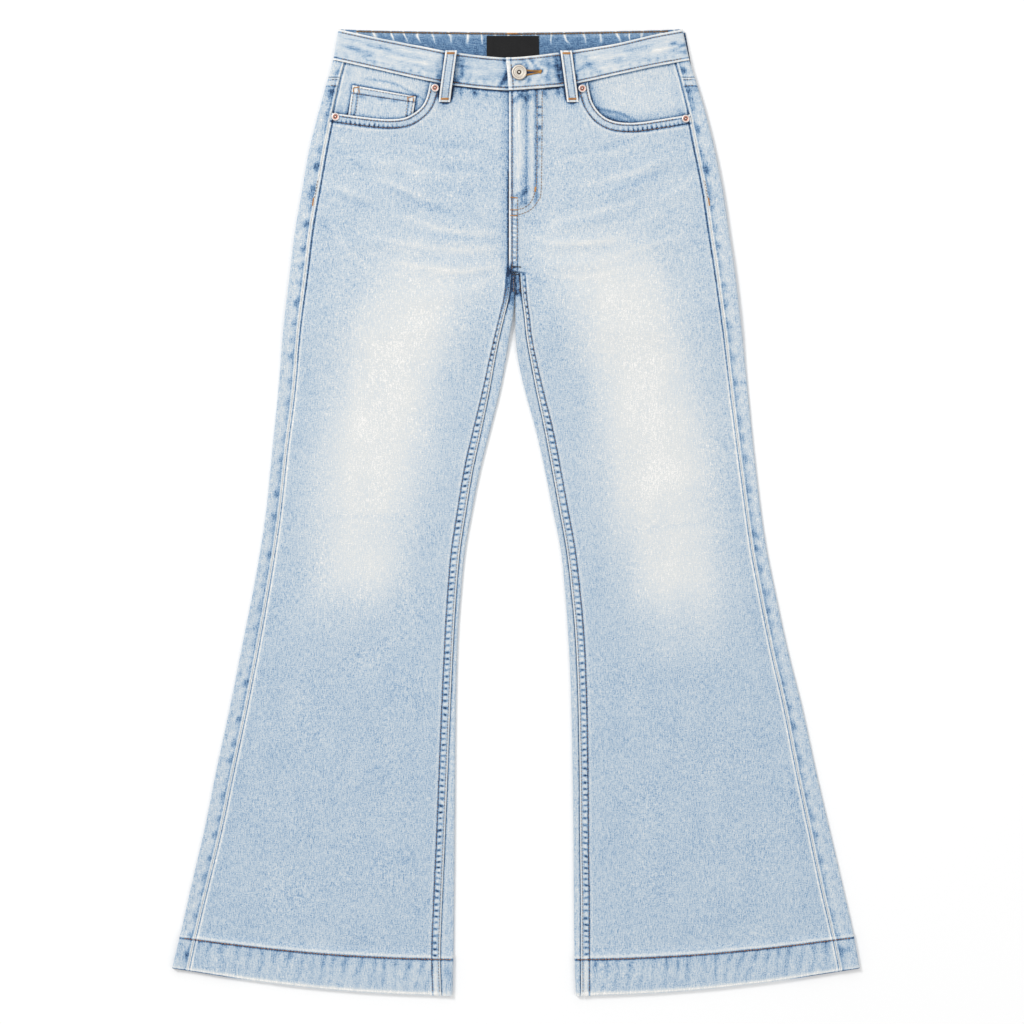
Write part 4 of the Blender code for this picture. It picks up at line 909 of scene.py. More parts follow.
def front_puckers(leg, out, y):
    """How far along its seam each place is, in puckers, and how blue the pucker there is."""
    x = SIGN[leg] * out
    _, from_inner, opening, along, level = front_places(leg, out, y)
    below_band = smooth(BAND_FRONT, 2, x) - SEAM_GAP / 2 - y
    above_fork, on_zip = eased(y, FORK_LEVEL - 6, FORK_LEVEL + 6), eased(y, 330, 346)
    row = inner_row(leg, y)
    run = y / INSEAM_PITCH
    pucker = 0.72 * hump(from_inner, 0.5 * (row + 2.2), 0.30 * (row - 1.8)) * (1 - above_fork)
    if leg == "left":
        pucker = pucker * (1 - eased(y, 200, 226))
    else:
        run = np.where(y > FORK_LEVEL, np.where(y > 332, y / 11, y / 5.2), run)
        pucker = pucker + on_zip * blend(0.16, 0.55, eased(y, 370, 440)) * hump(from_inner, 33.6, 2.4)
        pucker = pucker - above_fork * (1 - on_zip) * 0.50 * hump(from_inner, 6.0, 2.0)
    tight = 0.35 + 0.65 * hump(along, 95, 38)
    # Where, in puckers along, how blue: under the band, round the opening and in the hem
    for here, its_run, blue in (
        ((below_band < 16) & (opening > 13), x / 13, 0.34 * hump(below_band, 5.5, 4) * (abs(x) > 30)),
        (opening < 14, along / OPENING_PITCH, 0.60 * tight * tight * hump(opening, 7.4, 2.4)),
        (level < HEM_ROW - 0.3, (x - 0.15 * level) / 13.5, lines(level, HEM_PUCKERS)),
    ):
        run, pucker = np.where(here, its_run, run), np.where(here, blue, pucker)
    return run, pucker


# The upper edge is followed in small steps, and its way inwards is evened over a window of them
EDGE_STEP, EDGE_WINDOW, EDGE_REACH = 0.25, 160, 75.0


def front_grid(leg):
    """Rows up the leg, then rows that gather round the pocket opening and the waist seam."""
    share = np.concatenate([np.ones(OUTER_STEPS.size), 1 - MIDDLE_SHARES, np.zeros(INNER_STEPS.size)])
    middle = blend(-OUTER_STEPS[-1], INNER_STEPS[-1], MIDDLE_SHARES)
    shift = np.concatenate([-OUTER_STEPS, middle, INNER_STEPS[::-1]])
    y = np.repeat(LEG_LEVELS[:, None], share.size, 1)
    for _ in range(4):
        out = blend(front_edge(leg, y), side_seam(leg, y) - SEAM_GAP / 2, share) + shift
        y = front_y(leg, out, LEG_LEVELS[:, None])
    # The upper edge: along the waist seam to the pocket, then round its opening to the side seam
    path = curve_through(OPENING[leg], 24)
    seam_out = np.linspace(FRONT_EDGE[leg], path[0, 0], 260)[:-1]
    seam = np.stack([seam_out, smooth(BAND_FRONT, 2, SIGN[leg] * seam_out) - SEAM_GAP / 2], 1)
    end_y = path[-1, 1] + 0.3
    end = [[float(side_seam(leg, end_y)) - SEAM_GAP / 2, end_y]]
    edge = np.concatenate([seam, path, end])
    run = lengths_along(edge)
    fine = np.arange(0, run[-1], EDGE_STEP)
    edge = places_at(edge, run, fine)
    inward = crosswise(edge)
    window = hump(np.arange(-EDGE_WINDOW, EDGE_WINDOW + 1), 0, EDGE_REACH)
    padded = np.pad(inward, ((EDGE_WINDOW, EDGE_WINDOW), (0, 0)), mode="edge")
    inward = np.stack([np.convolve(padded[:, i], window / window.sum(), "valid") for i in (0, 1)], 1)
    inward /= np.hypot(*inward.T)[:, None]
    at = share * run[-1] + shift
    top, turn = places_at(edge, fine, at), places_at(inward, fine, at)
    foot = np.stack([out[-1], y[-1]], 1)
    reach = np.hypot(*(top - foot).T)
    rows = [TOP_SHARES[k] * (1 - TOP_STEPS[-1] / reach) for k in range(TOP_SHARES.size - 1)]
    rows += [1 - step / reach for step in TOP_STEPS[::-1]]
    upper = []
    for t in rows:
        t = t[:, None]
        low, high = np.array([[0, 1]]) * reach[:, None], -turn * reach[:, None]
        place = foot * (1 + 2 * t) * (1 - t) ** 2 + top * t * t * (3 - 2 * t)
        upper.append(place + low * t * (1 - t) ** 2 + high * t * t * (t - 1))
    upper = np.array(upper)
    new_out, new_y = upper[..., 0], upper[..., 1]
    new_out = np.where(share == 1, side_seam(leg, new_y) - SEAM_GAP / 2 + shift, new_out)
    new_out = np.where(share == 0, front_edge(leg, new_y) + shift, new_out)
    return np.concatenate([out, new_out]), np.concatenate([y, new_y])


for leg in SIGN:
    out, y = front_grid(leg)
    share = np.full(y.shape, 0.5)
    share[:LEG_LEVELS.size][LEG_LEVELS <= HEM_LEVEL + HEM_DEPTH] = 1.0
    front = cloth(
        f"front_{leg}_cloth", SIGN[leg] * out, y, front_height(leg, out, y), front_tone(leg, out, y), 2 * DENIM,
        [denim_body], flip=leg == "right", doubled=share, puckers=front_puckers(leg, out, y),
    )
    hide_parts(f"front_{leg}")

# The pocket facings: denim under the two openings, seen where the front is scooped away. They are
# caught in the waist seam and the side seam, and are a little bluer in the shade of the opening.
FACING_UNDER_SIDE, FACING_IN_BAND, FACING_BOTTOM, FACING_PAST = 4.0, 3.0, 412.0, 14.0
FACING_SHARES = np.linspace(0, 1, 64)
FACING_ACROSS = np.concatenate([np.linspace(0, 0.12, 18), np.linspace(0.12, 1, 50)[1:]])
FACING_EDGE_LINES = [(-0.45, 0, 2.4), (-0.12, 4, 7)]
FACING_SIDE_LINES = [(-0.62, 1.5, 0.9), (0.22, 3.6, 1.0), (-0.08, 8, 5)]
# The coin pocket's upper and lower corners, from the side inwards, as out and y
COIN_TOP = [(179.9, 470.8), (110.3, 458.2)]
COIN_LOW = [(185.5, 431.0), (114.6, 429.0)]
# Soft folds in the facings: places as x, y, then how far the shade reaches
FACING_FOLDS = {
    "left": [((-170, 478.5), (-138.6, 473.6), (-119.4, 465.3), (-97, 452), 1.2)],
    "right": [((86, 446), (99, 443.3), (117, 439.1), (134, 430), 1.5)],
}


def facing_height(leg, out, y):
    return top_height(leg, out, y) - DENIM - SEAM_GAP


def facing_fold(leg, x, y):
    return sum(soft_line(places, 6, reach, x, y) for *places, reach in FACING_FOLDS[leg])


for leg in SIGN:
    y = np.full((FACING_SHARES.size, FACING_ACROSS.size), BAND_LEVEL)
    for _ in range(4):
        start = side_seam(leg, y) + FACING_UNDER_SIDE
        out = blend(start, OPENING[leg][0][0] - FACING_PAST, FACING_ACROSS[None, :])
        top = smooth(BAND_FRONT, 2, SIGN[leg] * out) + FACING_IN_BAND
        y = blend(FACING_BOTTOM, top, FACING_SHARES[:, None])
    x = SIGN[leg] * out
    opening, _ = to_opening(leg, out, y)
    below_band = smooth(BAND_FRONT, 2, x) - y
    fold = facing_fold(leg, x, y)
    z = facing_height(leg, out, y) + 0.12 * ripple(x / 30, y / 25, 61) - 0.12 * fold
    # Painted shade under the front's edge along the opening, painted shade in the folds with a faint painted
    # highlight beside them, and a painted shadow under the band's edge
    tone = 0.79 + 0.02 * ripple(x / 30, y / 18, 62) + lines(opening, FACING_EDGE_LINES)
    tone = tone - 0.34 * fold + 0.05 * facing_fold(leg, x, y - 4.0) - 0.45 * hump(below_band, 0, 1.6)
    if leg == "right":
        # A crescent of painted shadow inside the right opening
        tone = tone - 0.30 * hump(opening, 0, 9) * hump(x, 108, 22)
    # Beside the side seam: a navy line, partly unworn indigo and partly painted shade, then a pale line
    tone = tone + lines(side_seam(leg, y) - out, FACING_SIDE_LINES)
    if leg == "left":
        # A painted shadow round the coin pocket
        coin_edge, _ = distance_to([COIN_LOW[0], COIN_TOP[0], COIN_TOP[1], COIN_LOW[1]], out, y)
        tone = tone - 0.65 * hump(coin_edge, 0, 2.2)
    facing = cloth(f"pocket_facing_{leg}_cloth", x, y, z, tone, DENIM, [denim_body], flip=leg == "right")
    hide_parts(f"pocket_facing_{leg}")

# The coin pocket: a small patch on the left facing, hemmed along its top and stitched twice down
# each side. Its foot runs into the opening.
COIN_WIDE, COIN_LONG, COIN_CLOTH, COIN_HEM, COIN_ROW, COIN_EDGE_ROW = 72, 40, 1.0, 8.6, 6.6, 2.2
COIN_EDGE = np.array([0, 0.5, 1, 1.6, 2.3, 3, 4, 5.2, 6.2, 6.8, 7.4, 8.2, 9.5, 11]) / COIN_WIDE
COIN_ACROSS = np.concatenate([COIN_EDGE, np.linspace(0.18, 0.82, 24), 1 - COIN_EDGE[::-1]])
COIN_DOWN = np.array([12, 11, 10, 9.2, 8.6, 8, 7, 5.6, 4.2, 3, 2.3, 1.6, 1, 0.5, 0]) / COIN_LONG
COIN_UP = np.concatenate([np.linspace(0, 0.66, 18), 1 - COIN_DOWN])
# Pale rubbed edges, and the dark grooves of the stitched rows, partly painted shade
COIN_EDGE_LINES = [(0.26, 1.0, 1.3), (-0.45, COIN_ROW + 0.2, 0.8), (-0.32, 2.7, 0.6)]
COIN_TOP_LINES = [(0.28, 1.0, 1.4), (-0.60, COIN_HEM + 0.2, 0.9), (-0.32, 2.7, 0.6)]


def coin_place(across, up):
    """A place on the coin pocket, from the side inwards and from its foot upwards."""
    low = [blend(COIN_LOW[0][i], COIN_LOW[1][i], across) for i in (0, 1)]
    top = [blend(COIN_TOP[0][i], COIN_TOP[1][i], across) for i in (0, 1)]
    return [blend(low[i], top[i], up) for i in (0, 1)]


def coin_edges(across, up):
    """How far a place on the coin pocket is from its sides and from its top."""
    return COIN_WIDE * np.minimum(across, 1 - across), COIN_LONG * (1 - up)


def coin_height(across, up):
    edge, top = coin_edges(across, up)
    z = facing_height("left", *coin_place(across, up)) + SEAM_GAP + COIN_CLOTH
    return z + lines(edge, [(-0.45, 0, 0.6), (0.25, 4, 2)]) + lines(top, [(-0.45, 0, 0.6), (0.25, 4, 2.5)])


across, up = np.meshgrid(COIN_ACROSS, COIN_UP)
out, y = coin_place(across, up)
edge, top = coin_edges(across, up)
opening, _ = to_opening("left", out, y)
tone = 0.74 + 0.02 * ripple(out / 20, y / 15, 63) + lines(top, COIN_TOP_LINES) + lines(edge, COIN_EDGE_LINES)
# Painted shade under the front's edge, where the pocket's foot runs into the opening
tone = tone - 0.5 * hump(opening, 0, 2.2)
tone = tone - 0.34 * pulses(out, 17, 64, 0.24) * hump(top, COIN_HEM + 2.8, 1.6)
tone = tone + 0.50 * hump(edge, 4.6, 2.8) * hump(top, 5.2, 3.2)
coin = cloth("coin_pocket_cloth", -out, y, coin_height(across, up), tone, COIN_CLOTH, [denim_body])
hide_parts("coin_pocket")

# The waistband: one straight strip of doubled denim, lapped at the centre front. It dips at the
# front, so the inside of the back band shows above it, darker and drawn into fine puckers.
BAND_LAP, UNDERLAP_X, LAP_EASE_X, BAND_LAP_X, TOP_LEVEL = BAND + SEAM_GAP, 32.0, 58.0, -9.5, 532.0
BAND_DEPTH, BAND_ROW, LAP_ROW = 34.6, 2.9, 5.2
BAND_STEPS = np.array([0, 0.5, 1, 1.6, 2.2, 2.8, 3.4, 4.4, 6, 8, 10.5, 13.5])
BAND_SHARES = np.concatenate([BAND_STEPS / BAND_DEPTH, [0.5], 1 - BAND_STEPS[::-1] / BAND_DEPTH])
BAND_FOLD = np.linspace(0, 1, 11)
BUTTON, BUTTONHOLE = (3.5, 483.7), [(10, 483.2), (18, 483.7), (27.5, 484.6)]
# Creases of the band: three places as x, y, then how pale and how wide; below 0 they are blue
BAND_CREASES = [
    ((10, 500), (13.5, 496), (17.5, 491.5), 0.20, 1.0), ((21, 495), (27, 489.5), (33, 485), 0.20, 1.1),
    ((6, 497.5), (11, 494), (13, 489.5), -0.26, 2.2), ((16, 498), (21, 492), (27, 486), -0.28, 2.4),
    ((28, 494), (40, 491), (49, 488), -0.20, 2.4), ((30, 479), (40, 481), (47, 480), -0.16, 2.2),
    ((10, 470), (13, 474), (15, 477), -0.22, 2.2), ((44, 500), (46, 486), (49, 473), -0.26, 3.0),
    ((170, 516), (178, 515), (186, 514), -0.30, 2.0), ((168, 509), (178, 508), (187, 507), -0.26, 1.6),
    ((-184, 511), (-172, 508), (-160, 503), -0.24, 2.4), ((-186, 522), (-170, 517), (-140, 508), -0.10, 2.4),
    ((-150, 512), (-128, 503), (-104, 498), -0.14, 2.2), ((-60, 497), (-59, 484), (-64, 474), -0.30, 3.4),
    ((-86, 494), (-84, 484), (-86, 474), -0.16, 3.0), ((-40, 487), (-28, 485), (-14, 484), -0.14, 2.0),
    ((-40, 478), (-28, 479), (-14, 478), -0.12, 2.0), ((76, 500), (84, 490), (92, 484), -0.16, 3.2),
    ((120, 508), (136, 511), (150, 514), -0.14, 2.2), ((110, 494), (126, 498), (142, 500), -0.12, 2.0),
    ((-18, 470), (-14, 474), (-12, 480), -0.34, 2.4), ((-52, 492), (-50, 482), (-53, 474), -0.16, 2.2),
    ((34, 498), (36, 490), (34, 474), -0.14, 2.4), ((-44, 494), (-30, 493), (-18, 492), -0.10, 1.6),
    ((-150, 506), (-126, 500), (-96, 494), 0.12, 1.3), ((-176, 516), (-150, 509), (-120, 504), 0.12, 1.2),
    ((70, 496), (92, 500), (120, 504), 0.10, 1.3), ((90, 488), (116, 494), (146, 502), 0.10, 1.3),
    ((-56, 488), (-36, 484), (-16, 481), 0.12, 1.0), ((150, 508), (166, 511), (180, 512), 0.16, 1.2),
    ((70, 488), (80, 493), (90, 497), -0.20, 1.8), ((91, 493), (103, 497), (116, 500), -0.12, 1.2),
    ((-168, 501), (-162, 498), (-155, 495), -0.20, 1.8), ((-104, 489), (-92, 484), (-83, 479), -0.12, 2.0),
]


def band_height(x):
    return SEAT_LIFT + 2 * BAND + BAND_AIR + BAND_LAP * (1 - eased(x, UNDERLAP_X + 2, LAP_EASE_X))


def half_width(x, level):
    return np.where(x < 0, outline("left", level), outline("right", level))


def lap_edge(y):
    """The lap's edge leans a little: its foot is further to the right than its top."""
    return BAND_LAP_X + blend(1.3, -1.6, eased(y, 464, 503))


def band_crease(x, y):
    away = [distance_to(curve_through(places, 3), x, y)[0] for *places, _, _ in BAND_CREASES]
    return sum(pale * hump(far, 0, reach) for far, (*_, pale, reach) in zip(away, BAND_CREASES))


def band_edges(x, y):
    """How far a place is from the lower and the upper edge of the band where it lies on top."""
    return y - smooth(BAND_FRONT, 2, x) - SEAM_GAP / 2, smooth(BAND_FRONT, 1, x) - y


def band_relief(x, y, on_lap):
    low, high = band_edges(x, y)
    z = 0.9 * np.clip(band_crease(x, y), -0.3, 0.3) + 0.15 * ripple(x / 34, y / 9, 71)
    z = z + sum(lines(away, [(-0.4, 0, 0.6), (0.2, 1.5, 0.9), (-0.2, 3, 0.8)]) for away in (low, high))
    z = z + 0.18 * pulses(x, 9, 72) * hump(low, 6.5, 2.5)
    return z + on_lap * lines(x - lap_edge(y), [(0.4, 1.8, 1.6), (-0.7, 0, 0.6)])


def band_tone(x, y, on_lap):
    low, high = band_edges(x, y)
    middle = y - (smooth(BAND_FRONT, 1, x) + smooth(BAND_FRONT, 2, x)) / 2
    tone = 0.775 + 0.07 * ripple(x / 60, middle / 6.5, 73) + 0.035 * ripple(x / 22, middle / 4.5, 74)
    tone = tone + 1.4 * band_crease(x, y) + 0.06 * hump(low, 7, 2.4)
    # Painted shadow of the belt loops on the band
    tone = tone + lines(np.maximum(loop_reach(x, y), 0), [(-0.55, 0.4, 1.6), (-0.12, 0, 12)])
    # Pale rubbed edges, and the dark grooves of the rows along them, partly painted shade
    tone = tone + sum(lines(away, [(0.24, 0.7, 1.1), (-0.55, 3.0, 0.75)]) for away in (low, high))
    hole, _ = distance_to(BUTTONHOLE, x, y)
    tone = tone - on_lap * 0.85 * hump(hole, 0, blend(3.2, 1.6, eased(x, 12, 28)))
    # The lap's pale rubbed edge and its row's dark groove, partly painted shade, a painted shadow round the
    # button, and painted shade on the underlap beside the lap's edge
    from_lap = x - lap_edge(y)
    tone = tone + on_lap * lines(from_lap, [(0.30, 1.6, 2.2), (-0.5, LAP_ROW, 0.8)])
    tone = tone - on_lap * 0.5 * hump(np.hypot(x - BUTTON[0], y - BUTTON[1]), 9, 1.1)
    return tone + (1 - on_lap) * (x < 0) * lines(from_lap, [(-0.65, -1.0, 1.6), (-0.12, -5, 4)])


level = blend(BAND_LEVEL, TOP_LEVEL, BAND_SHARES)[:, None]
radius = (band_height(LAP_EASE_X) - SEAT_LIFT) / 2
left, right = radius - outline("left", level), outline("right", level) - radius
turn = math.pi * BAND_FOLD[None, :]
roll_x, roll_z, roll_top = radius * np.sin(turn), SEAT_LIFT + radius + radius * np.cos(turn), BAND_FOLD < 0.5
steps = np.linspace(0, 1, 76)[None, :]
lap_x = np.concatenate([np.arange(57, -5, -1.5), [-5.4, -6.2, -7, -7.6, -8.2, -8.7, -9.1, -9.5]])[None, :]
# Round the band from the end of the underlap: x, height, whether it is on top, whether it is the lap
spans = [
    (blend(UNDERLAP_X, left, steps), band_height(right), 1, 0),
    (left - roll_x, roll_z, roll_top, 0),
    (blend(left, right, steps[:, 1:-1]), SEAT_LIFT, 0, 0),
    (right + roll_x[:, ::-1], roll_z[:, ::-1], roll_top[::-1], 0),
    (blend(right, LAP_EASE_X, np.linspace(0, 1, 46)[None, 1:-1]), None, 1, 1),
    (np.repeat(lap_x, level.size, 0), None, 1, 1),
]
xs, ys, zs, tones, insides, drops = [], [], [], [], [], []
for span_x, span_z, on_top, on_lap in spans:
    on_top = np.broadcast_to(np.asarray(on_top, float), span_x.shape)
    low_share, high_share = [abs(span_x) / half_width(span_x, at) for at in (BAND_LEVEL, TOP_LEVEL)]
    low = blend(smooth(BACK_BOTTOM, 1, low_share), smooth(BAND_FRONT, 2, span_x), on_top) + SEAM_GAP / 2
    high = blend(smooth(BACK_TOP, 1, high_share), smooth(BAND_FRONT, 1, span_x), on_top)
    span_y = blend(low, high, BAND_SHARES[:, None])
    if span_z is None:
        span_x = span_x + (lap_edge(span_y) - BAND_LAP_X) * eased(span_x, 8, -6)
    base = band_height(span_x) if span_z is None else span_z
    is_flat = on_top if span_z is None or span_x.shape[1] > BAND_FOLD.size else 0 * on_top
    xs.append(span_x)
    ys.append(span_y)
    zs.append(base + is_flat * band_relief(span_x, span_y, on_lap))
    outside = band_tone(span_x, span_y, on_lap)
    from_edges = np.minimum(span_y - low, high - span_y)
    # Where the band is not on top: pale edges and the dark grooves of its rows, partly painted shade
    plain = 0.76 + 0.03 * ripple(span_x / 40, span_y / 9, 75) + 0.2 * hump(from_edges, 0.8, 1.1)
    tones.append(np.where(on_top > 0, outside, plain - 0.30 * hump(from_edges, 2.9, 0.7)))
    drop = high - span_y
    inside = 0.32 + 0.04 * ripple(span_x / 9, span_y / 9, 76) - 0.04 * eased(drop, 8, 20)
    insides.append(inside + 0.12 * hump(drop, 4.0, 2.0))
    drops.append(drop)
x, y, z, tone, inside, drop = [np.concatenate(group, 1) for group in (xs, ys, zs, tones, insides, drops)]
band_body = denim("band_denim", warp_along_x=True, grain=0.75)
band_lining = denim("band_inside", warp_along_x=True, reads="inside", grain=0.7, sharp=22.0)
on_front_side = z > SEAT_LIFT + radius
low = y - smooth(BAND_FRONT, 2, x)
waistband = cloth(
    "waistband_cloth", x, y, z, tone, BAND, [band_body, band_lining], flip=True, inside=inside,
    puckers=(
        np.where(on_front_side, x / 10, (x - 0.16 * drop) / 16.5),
        np.where(on_front_side, 0.22 * hump(low, 7.4, 2.4), -0.58 * (1 - eased(drop, 7, 15))),
    ),
)
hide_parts("waistband")

# Five belt loops: narrow strips folded in three and stitched along both edges. Two stand on the
# front of the band, and three lie under the seat, where the right one just shows past the edge.
LOOP_THICK, LOOP_BOW, LOOP_REST, LOOP_ABOVE = 1.5, 0.8, 0.1, 0.8
STEP_FROM, STEP_TO = 3.0, 15.0
UNDER_LOOPS = {"centre_back": (-4, -4), "side_left": (-118, -120), "side_right": (180.5, 190.2)}
UNDER_LOOP_FOOT, UNDER_LOOP_TOP = 475.0, 529.0
LOOP_ACROSS = np.array([
    0, 0.4, 0.9, 1.5, 2.1, 2.6, 3.2, 4, 5, 6.3, 7.6, 8.6, 9.4, 10, 10.5, 11.1, 11.7, 12.2, 12.6,
])
LOOP_END = np.array([0, 0.01, 0.02, 0.035, 0.05])
LOOP_UP = np.concatenate([LOOP_END, np.linspace(0.07, 0.93, 42), 1 - LOOP_END[::-1]])
LOOP_ROW = 2.6


def loop_edges(across, up):
    """How far a place on a loop is from its sides and from its ends."""
    return np.minimum(across, LOOP_WIDTH - across), LOOP_LONG * np.minimum(up, 1 - up)


def loop_surface(leg, across, up):
    """A place on a front loop: across it in millimetres from its left edge, and up it as a share."""
    top_x, foot_x = FRONT_LOOPS[leg]
    top_y = float(smooth(BAND_FRONT, 1, top_x)) + LOOP_ABOVE
    x = blend(foot_x, top_x, up) + across - LOOP_WIDTH / 2
    y = blend(LOOP_FOOT_Y, top_y, up)
    panel = front_solid(leg, SIGN[leg] * x, y) + 0.3
    below_band = smooth(BAND_FRONT, 2, x) - y
    z = blend(band_height(x), panel, eased(below_band, STEP_FROM, STEP_TO))
    z = z + SEAM_GAP + LOOP_REST + LOOP_BOW * np.sin(math.pi * up) + LOOP_THICK
    edge, end = loop_edges(across, up)
    z = z + lines(edge, [(-0.3, 0, 0.5), (0.25, 1.3, 0.7), (-0.25, 2.7, 0.5)])
    return x, y, z - 0.3 * hump(end, 0, 0.6) - 0.2 * hump(edge, 6, 2.2) * (end > 4)


for leg in SIGN:
    across, up = np.meshgrid(LOOP_ACROSS, LOOP_UP)
    x, y, z = loop_surface(leg, across, up)
    edge, end = loop_edges(across, up)
    tone = 0.76 + 0.04 * ripple(x / 6, y / 14, 81) + 0.3 * hump(end, 1.2, 1.9)
    # Pale rubbed edges, and the dark grooves of the rows, partly painted shade
    tone = tone + lines(edge, [(0.28, 0.8, 1.1), (-0.50, 2.8, 0.6), (-0.12, 6.3, 2.2)])
    loop = cloth(f"belt_loop_front_{leg}_cloth", x, y, z, tone, LOOP_THICK, [band_body])
    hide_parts(f"belt_loop_front_{leg}")
for name, (top_x, foot_x) in UNDER_LOOPS.items():
    across, up = np.meshgrid(LOOP_ACROSS, LOOP_UP)
    edge, _ = loop_edges(across, up)
    x, y = blend(foot_x, top_x, up) + across - LOOP_WIDTH / 2, blend(UNDER_LOOP_FOOT, UNDER_LOOP_TOP, up)
    # Pale edges and the dark grooves of the rows, partly painted shade; the inner faces that turn up are dark
    # navy, partly painted shade, with paler knobs near their tops
    tone = 0.78 + lines(edge, [(0.22, 0.8, 1.0), (-0.32, LOOP_ROW, 0.55)])
    shade = 0.10 + 0.25 * pulses(y, 3.4, 83, 0.3) * (up > 0.8)
    loop = cloth(
        f"belt_loop_{name}_cloth", x, y, 0.25 * hump(edge, 0, 0.6), tone, TRIM, [band_body, band_lining],
        flip=True, inside=shade,
    )
    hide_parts(f"belt_loop_{name}")

# Two plain patch pockets on the seat, hemmed at the top and stitched twice round the rest. The
# garment lies on them, so their outside faces down.
POCKET_CENTRE, POCKET_TILT = (98, 362), math.radians(5)
POCKET_TOP, POCKET_SIDE, POCKET_TIP, POCKET_HALF_TOP, POCKET_HALF_LOW = 72.0, -60.0, -78.0, 75.0, 66.0
POCKET_HALF, POCKET_LONG, POCKET_ROWS = 70, 140, (2.4, 8.2)


def pocket_place(leg, across, up):
    """A place on a back pocket: across from -1 to 1, and up from its lower edge as a share."""
    low = blend(POCKET_TIP, POCKET_SIDE, abs(across))
    y = blend(low, POCKET_TOP, up)
    widening = np.clip((y - POCKET_SIDE) / (POCKET_TOP - POCKET_SIDE), 0, 1)
    x = across * blend(POCKET_HALF_LOW, POCKET_HALF_TOP, widening)
    cos, sin = math.cos(POCKET_TILT), math.sin(POCKET_TILT)
    return SIGN[leg] * (POCKET_CENTRE[0] + x * cos - y * sin), POCKET_CENTRE[1] + x * sin + y * cos


pocket_edge = np.array([0, 0.5, 1, 1.6, 2.4, 3.2, 4.5, 6, 7.4, 8.2, 9, 10, 12]) / POCKET_HALF
pocket_across = np.concatenate([-1 + pocket_edge, np.linspace(-0.8, 0.8, 33), 1 - pocket_edge[::-1]])
pocket_up = np.concatenate([pocket_edge / 2, np.linspace(0.11, 0.80, 26), 1 - pocket_edge[::-1]])
for leg in SIGN:
    across, up = np.meshgrid(pocket_across, pocket_up)
    x, y = pocket_place(leg, across, up)
    edge, top = np.minimum(POCKET_HALF * (1 - abs(across)), POCKET_LONG * up), POCKET_LONG * (1 - up)
    z = 0.35 * np.maximum(hump(edge, 0, 0.7), hump(top, 0, 0.7))
    z = z + lines(edge, [(0.3, row, 0.8) for row in POCKET_ROWS])
    tone = 0.70 + 0.03 * ripple(x / 30, y / 30, 91) + 0.24 * hump(np.minimum(edge, top), 0.9, 1.1)
    # The dark groove of the outer row and a dark line under the hem, partly painted shade
    tone = tone - 0.25 * hump(edge, POCKET_ROWS[1], 0.8) - 0.25 * hump(top, 14, 0.9)
    tone = tone + 0.12 * pulses(x + y, 7, 92) * hump(edge, 5, 2)
    patch = cloth(f"back_pocket_{leg}_cloth", x, y, z, tone, TRIM, [denim_body], flip=leg == "right")
    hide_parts(f"back_pocket_{leg}")

# The blank label: a folded black woven tape with nothing on it, sewn inside the back of the band,
# just under its upper edge.
LABEL_X, LABEL_Y, LABEL_WIDTH, LABEL_HEIGHT, LABEL_THICK = -3.5, 510.0, 57.5, 30.0, 1.0
LABEL_EDGE = np.array([0, 0.3, 0.8, 1.5, 2.4])
label_across = np.concatenate([LABEL_EDGE, np.linspace(4, 53.5, 34), LABEL_WIDTH - LABEL_EDGE[::-1]])
label_up = np.concatenate([LABEL_EDGE, np.linspace(4, 26, 16), LABEL_HEIGHT - LABEL_EDGE[::-1]])
across, up = np.meshgrid(label_across, label_up)
edge = np.minimum(np.minimum(across, LABEL_WIDTH - across), np.minimum(up, LABEL_HEIGHT - up))
z = SEAT_LIFT + BAND + SEAM_GAP + LABEL_THICK + lines(edge, [(-0.35, 0, 0.7), (-0.12, 2.2, 0.5)])
label_cloth, tree, shader = new_finish("black_tape", Roughness=0.7, Specular_IOR_Level=0.15)
place = tree.nodes.new("ShaderNodeTexCoord").outputs["Object"]
weave, clouds = noise(tree, place, (420, 2600, 420), 2), noise(tree, place, (90, 90, 90), 2)
mixed = maths(tree, "MULTIPLY_ADD", weave, 0.7, maths(tree, "MULTIPLY", clouds, 0.3))
black = colours(tree, mixed, [(0.3, (24, 24, 25)), (0.7, (36, 36, 37))])
tree.links.new(black, shader.inputs["Base Color"])
raise_fine(tree, shader, weave, 0.2 * MM)
x, y = LABEL_X - LABEL_WIDTH / 2 + across, LABEL_Y - LABEL_HEIGHT / 2 + up
label = cloth("blank_label_cloth", x, y, z, None, LABEL_THICK, [label_cloth])
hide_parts("blank_label")

# Fly shield, zip and slider: they lie hidden under the lap and keep the solids' own shapes. The
# shield is denim; the zip, a cotton tape with a brass chain, is given brass all over, like the slider.
shield_cloth = denim("shield_denim", tone=0.6)
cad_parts["fly_shield"].material_slots[0].material = shield_cloth
zip_brass, tree, shader = new_finish("zip_brass", Metallic=1.0)
place = tree.nodes.new("ShaderNodeTexCoord").outputs["Object"]
split = tree.nodes.new("ShaderNodeSeparateXYZ")
tree.links.new(place, split.inputs[0])
teeth = maths(tree, "SINE", maths(tree, "MULTIPLY", split.outputs["Y"], 3140.0))
tarnish = noise(tree, place, (300, 300, 300), 3)
brass = colours(tree, tarnish, [(0.0, (120, 92, 52)), (1.0, (206, 172, 108))])
tree.links.new(brass, shader.inputs["Base Color"])
tree.links.new(maths(tree, "MULTIPLY_ADD", tarnish, 0.4, 0.25), shader.inputs["Roughness"])
raise_fine(tree, shader, teeth, 0.5 * MM)
for name in ("fly_zip", "zip_slider"):
    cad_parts[name].material_slots[0].material = zip_brass


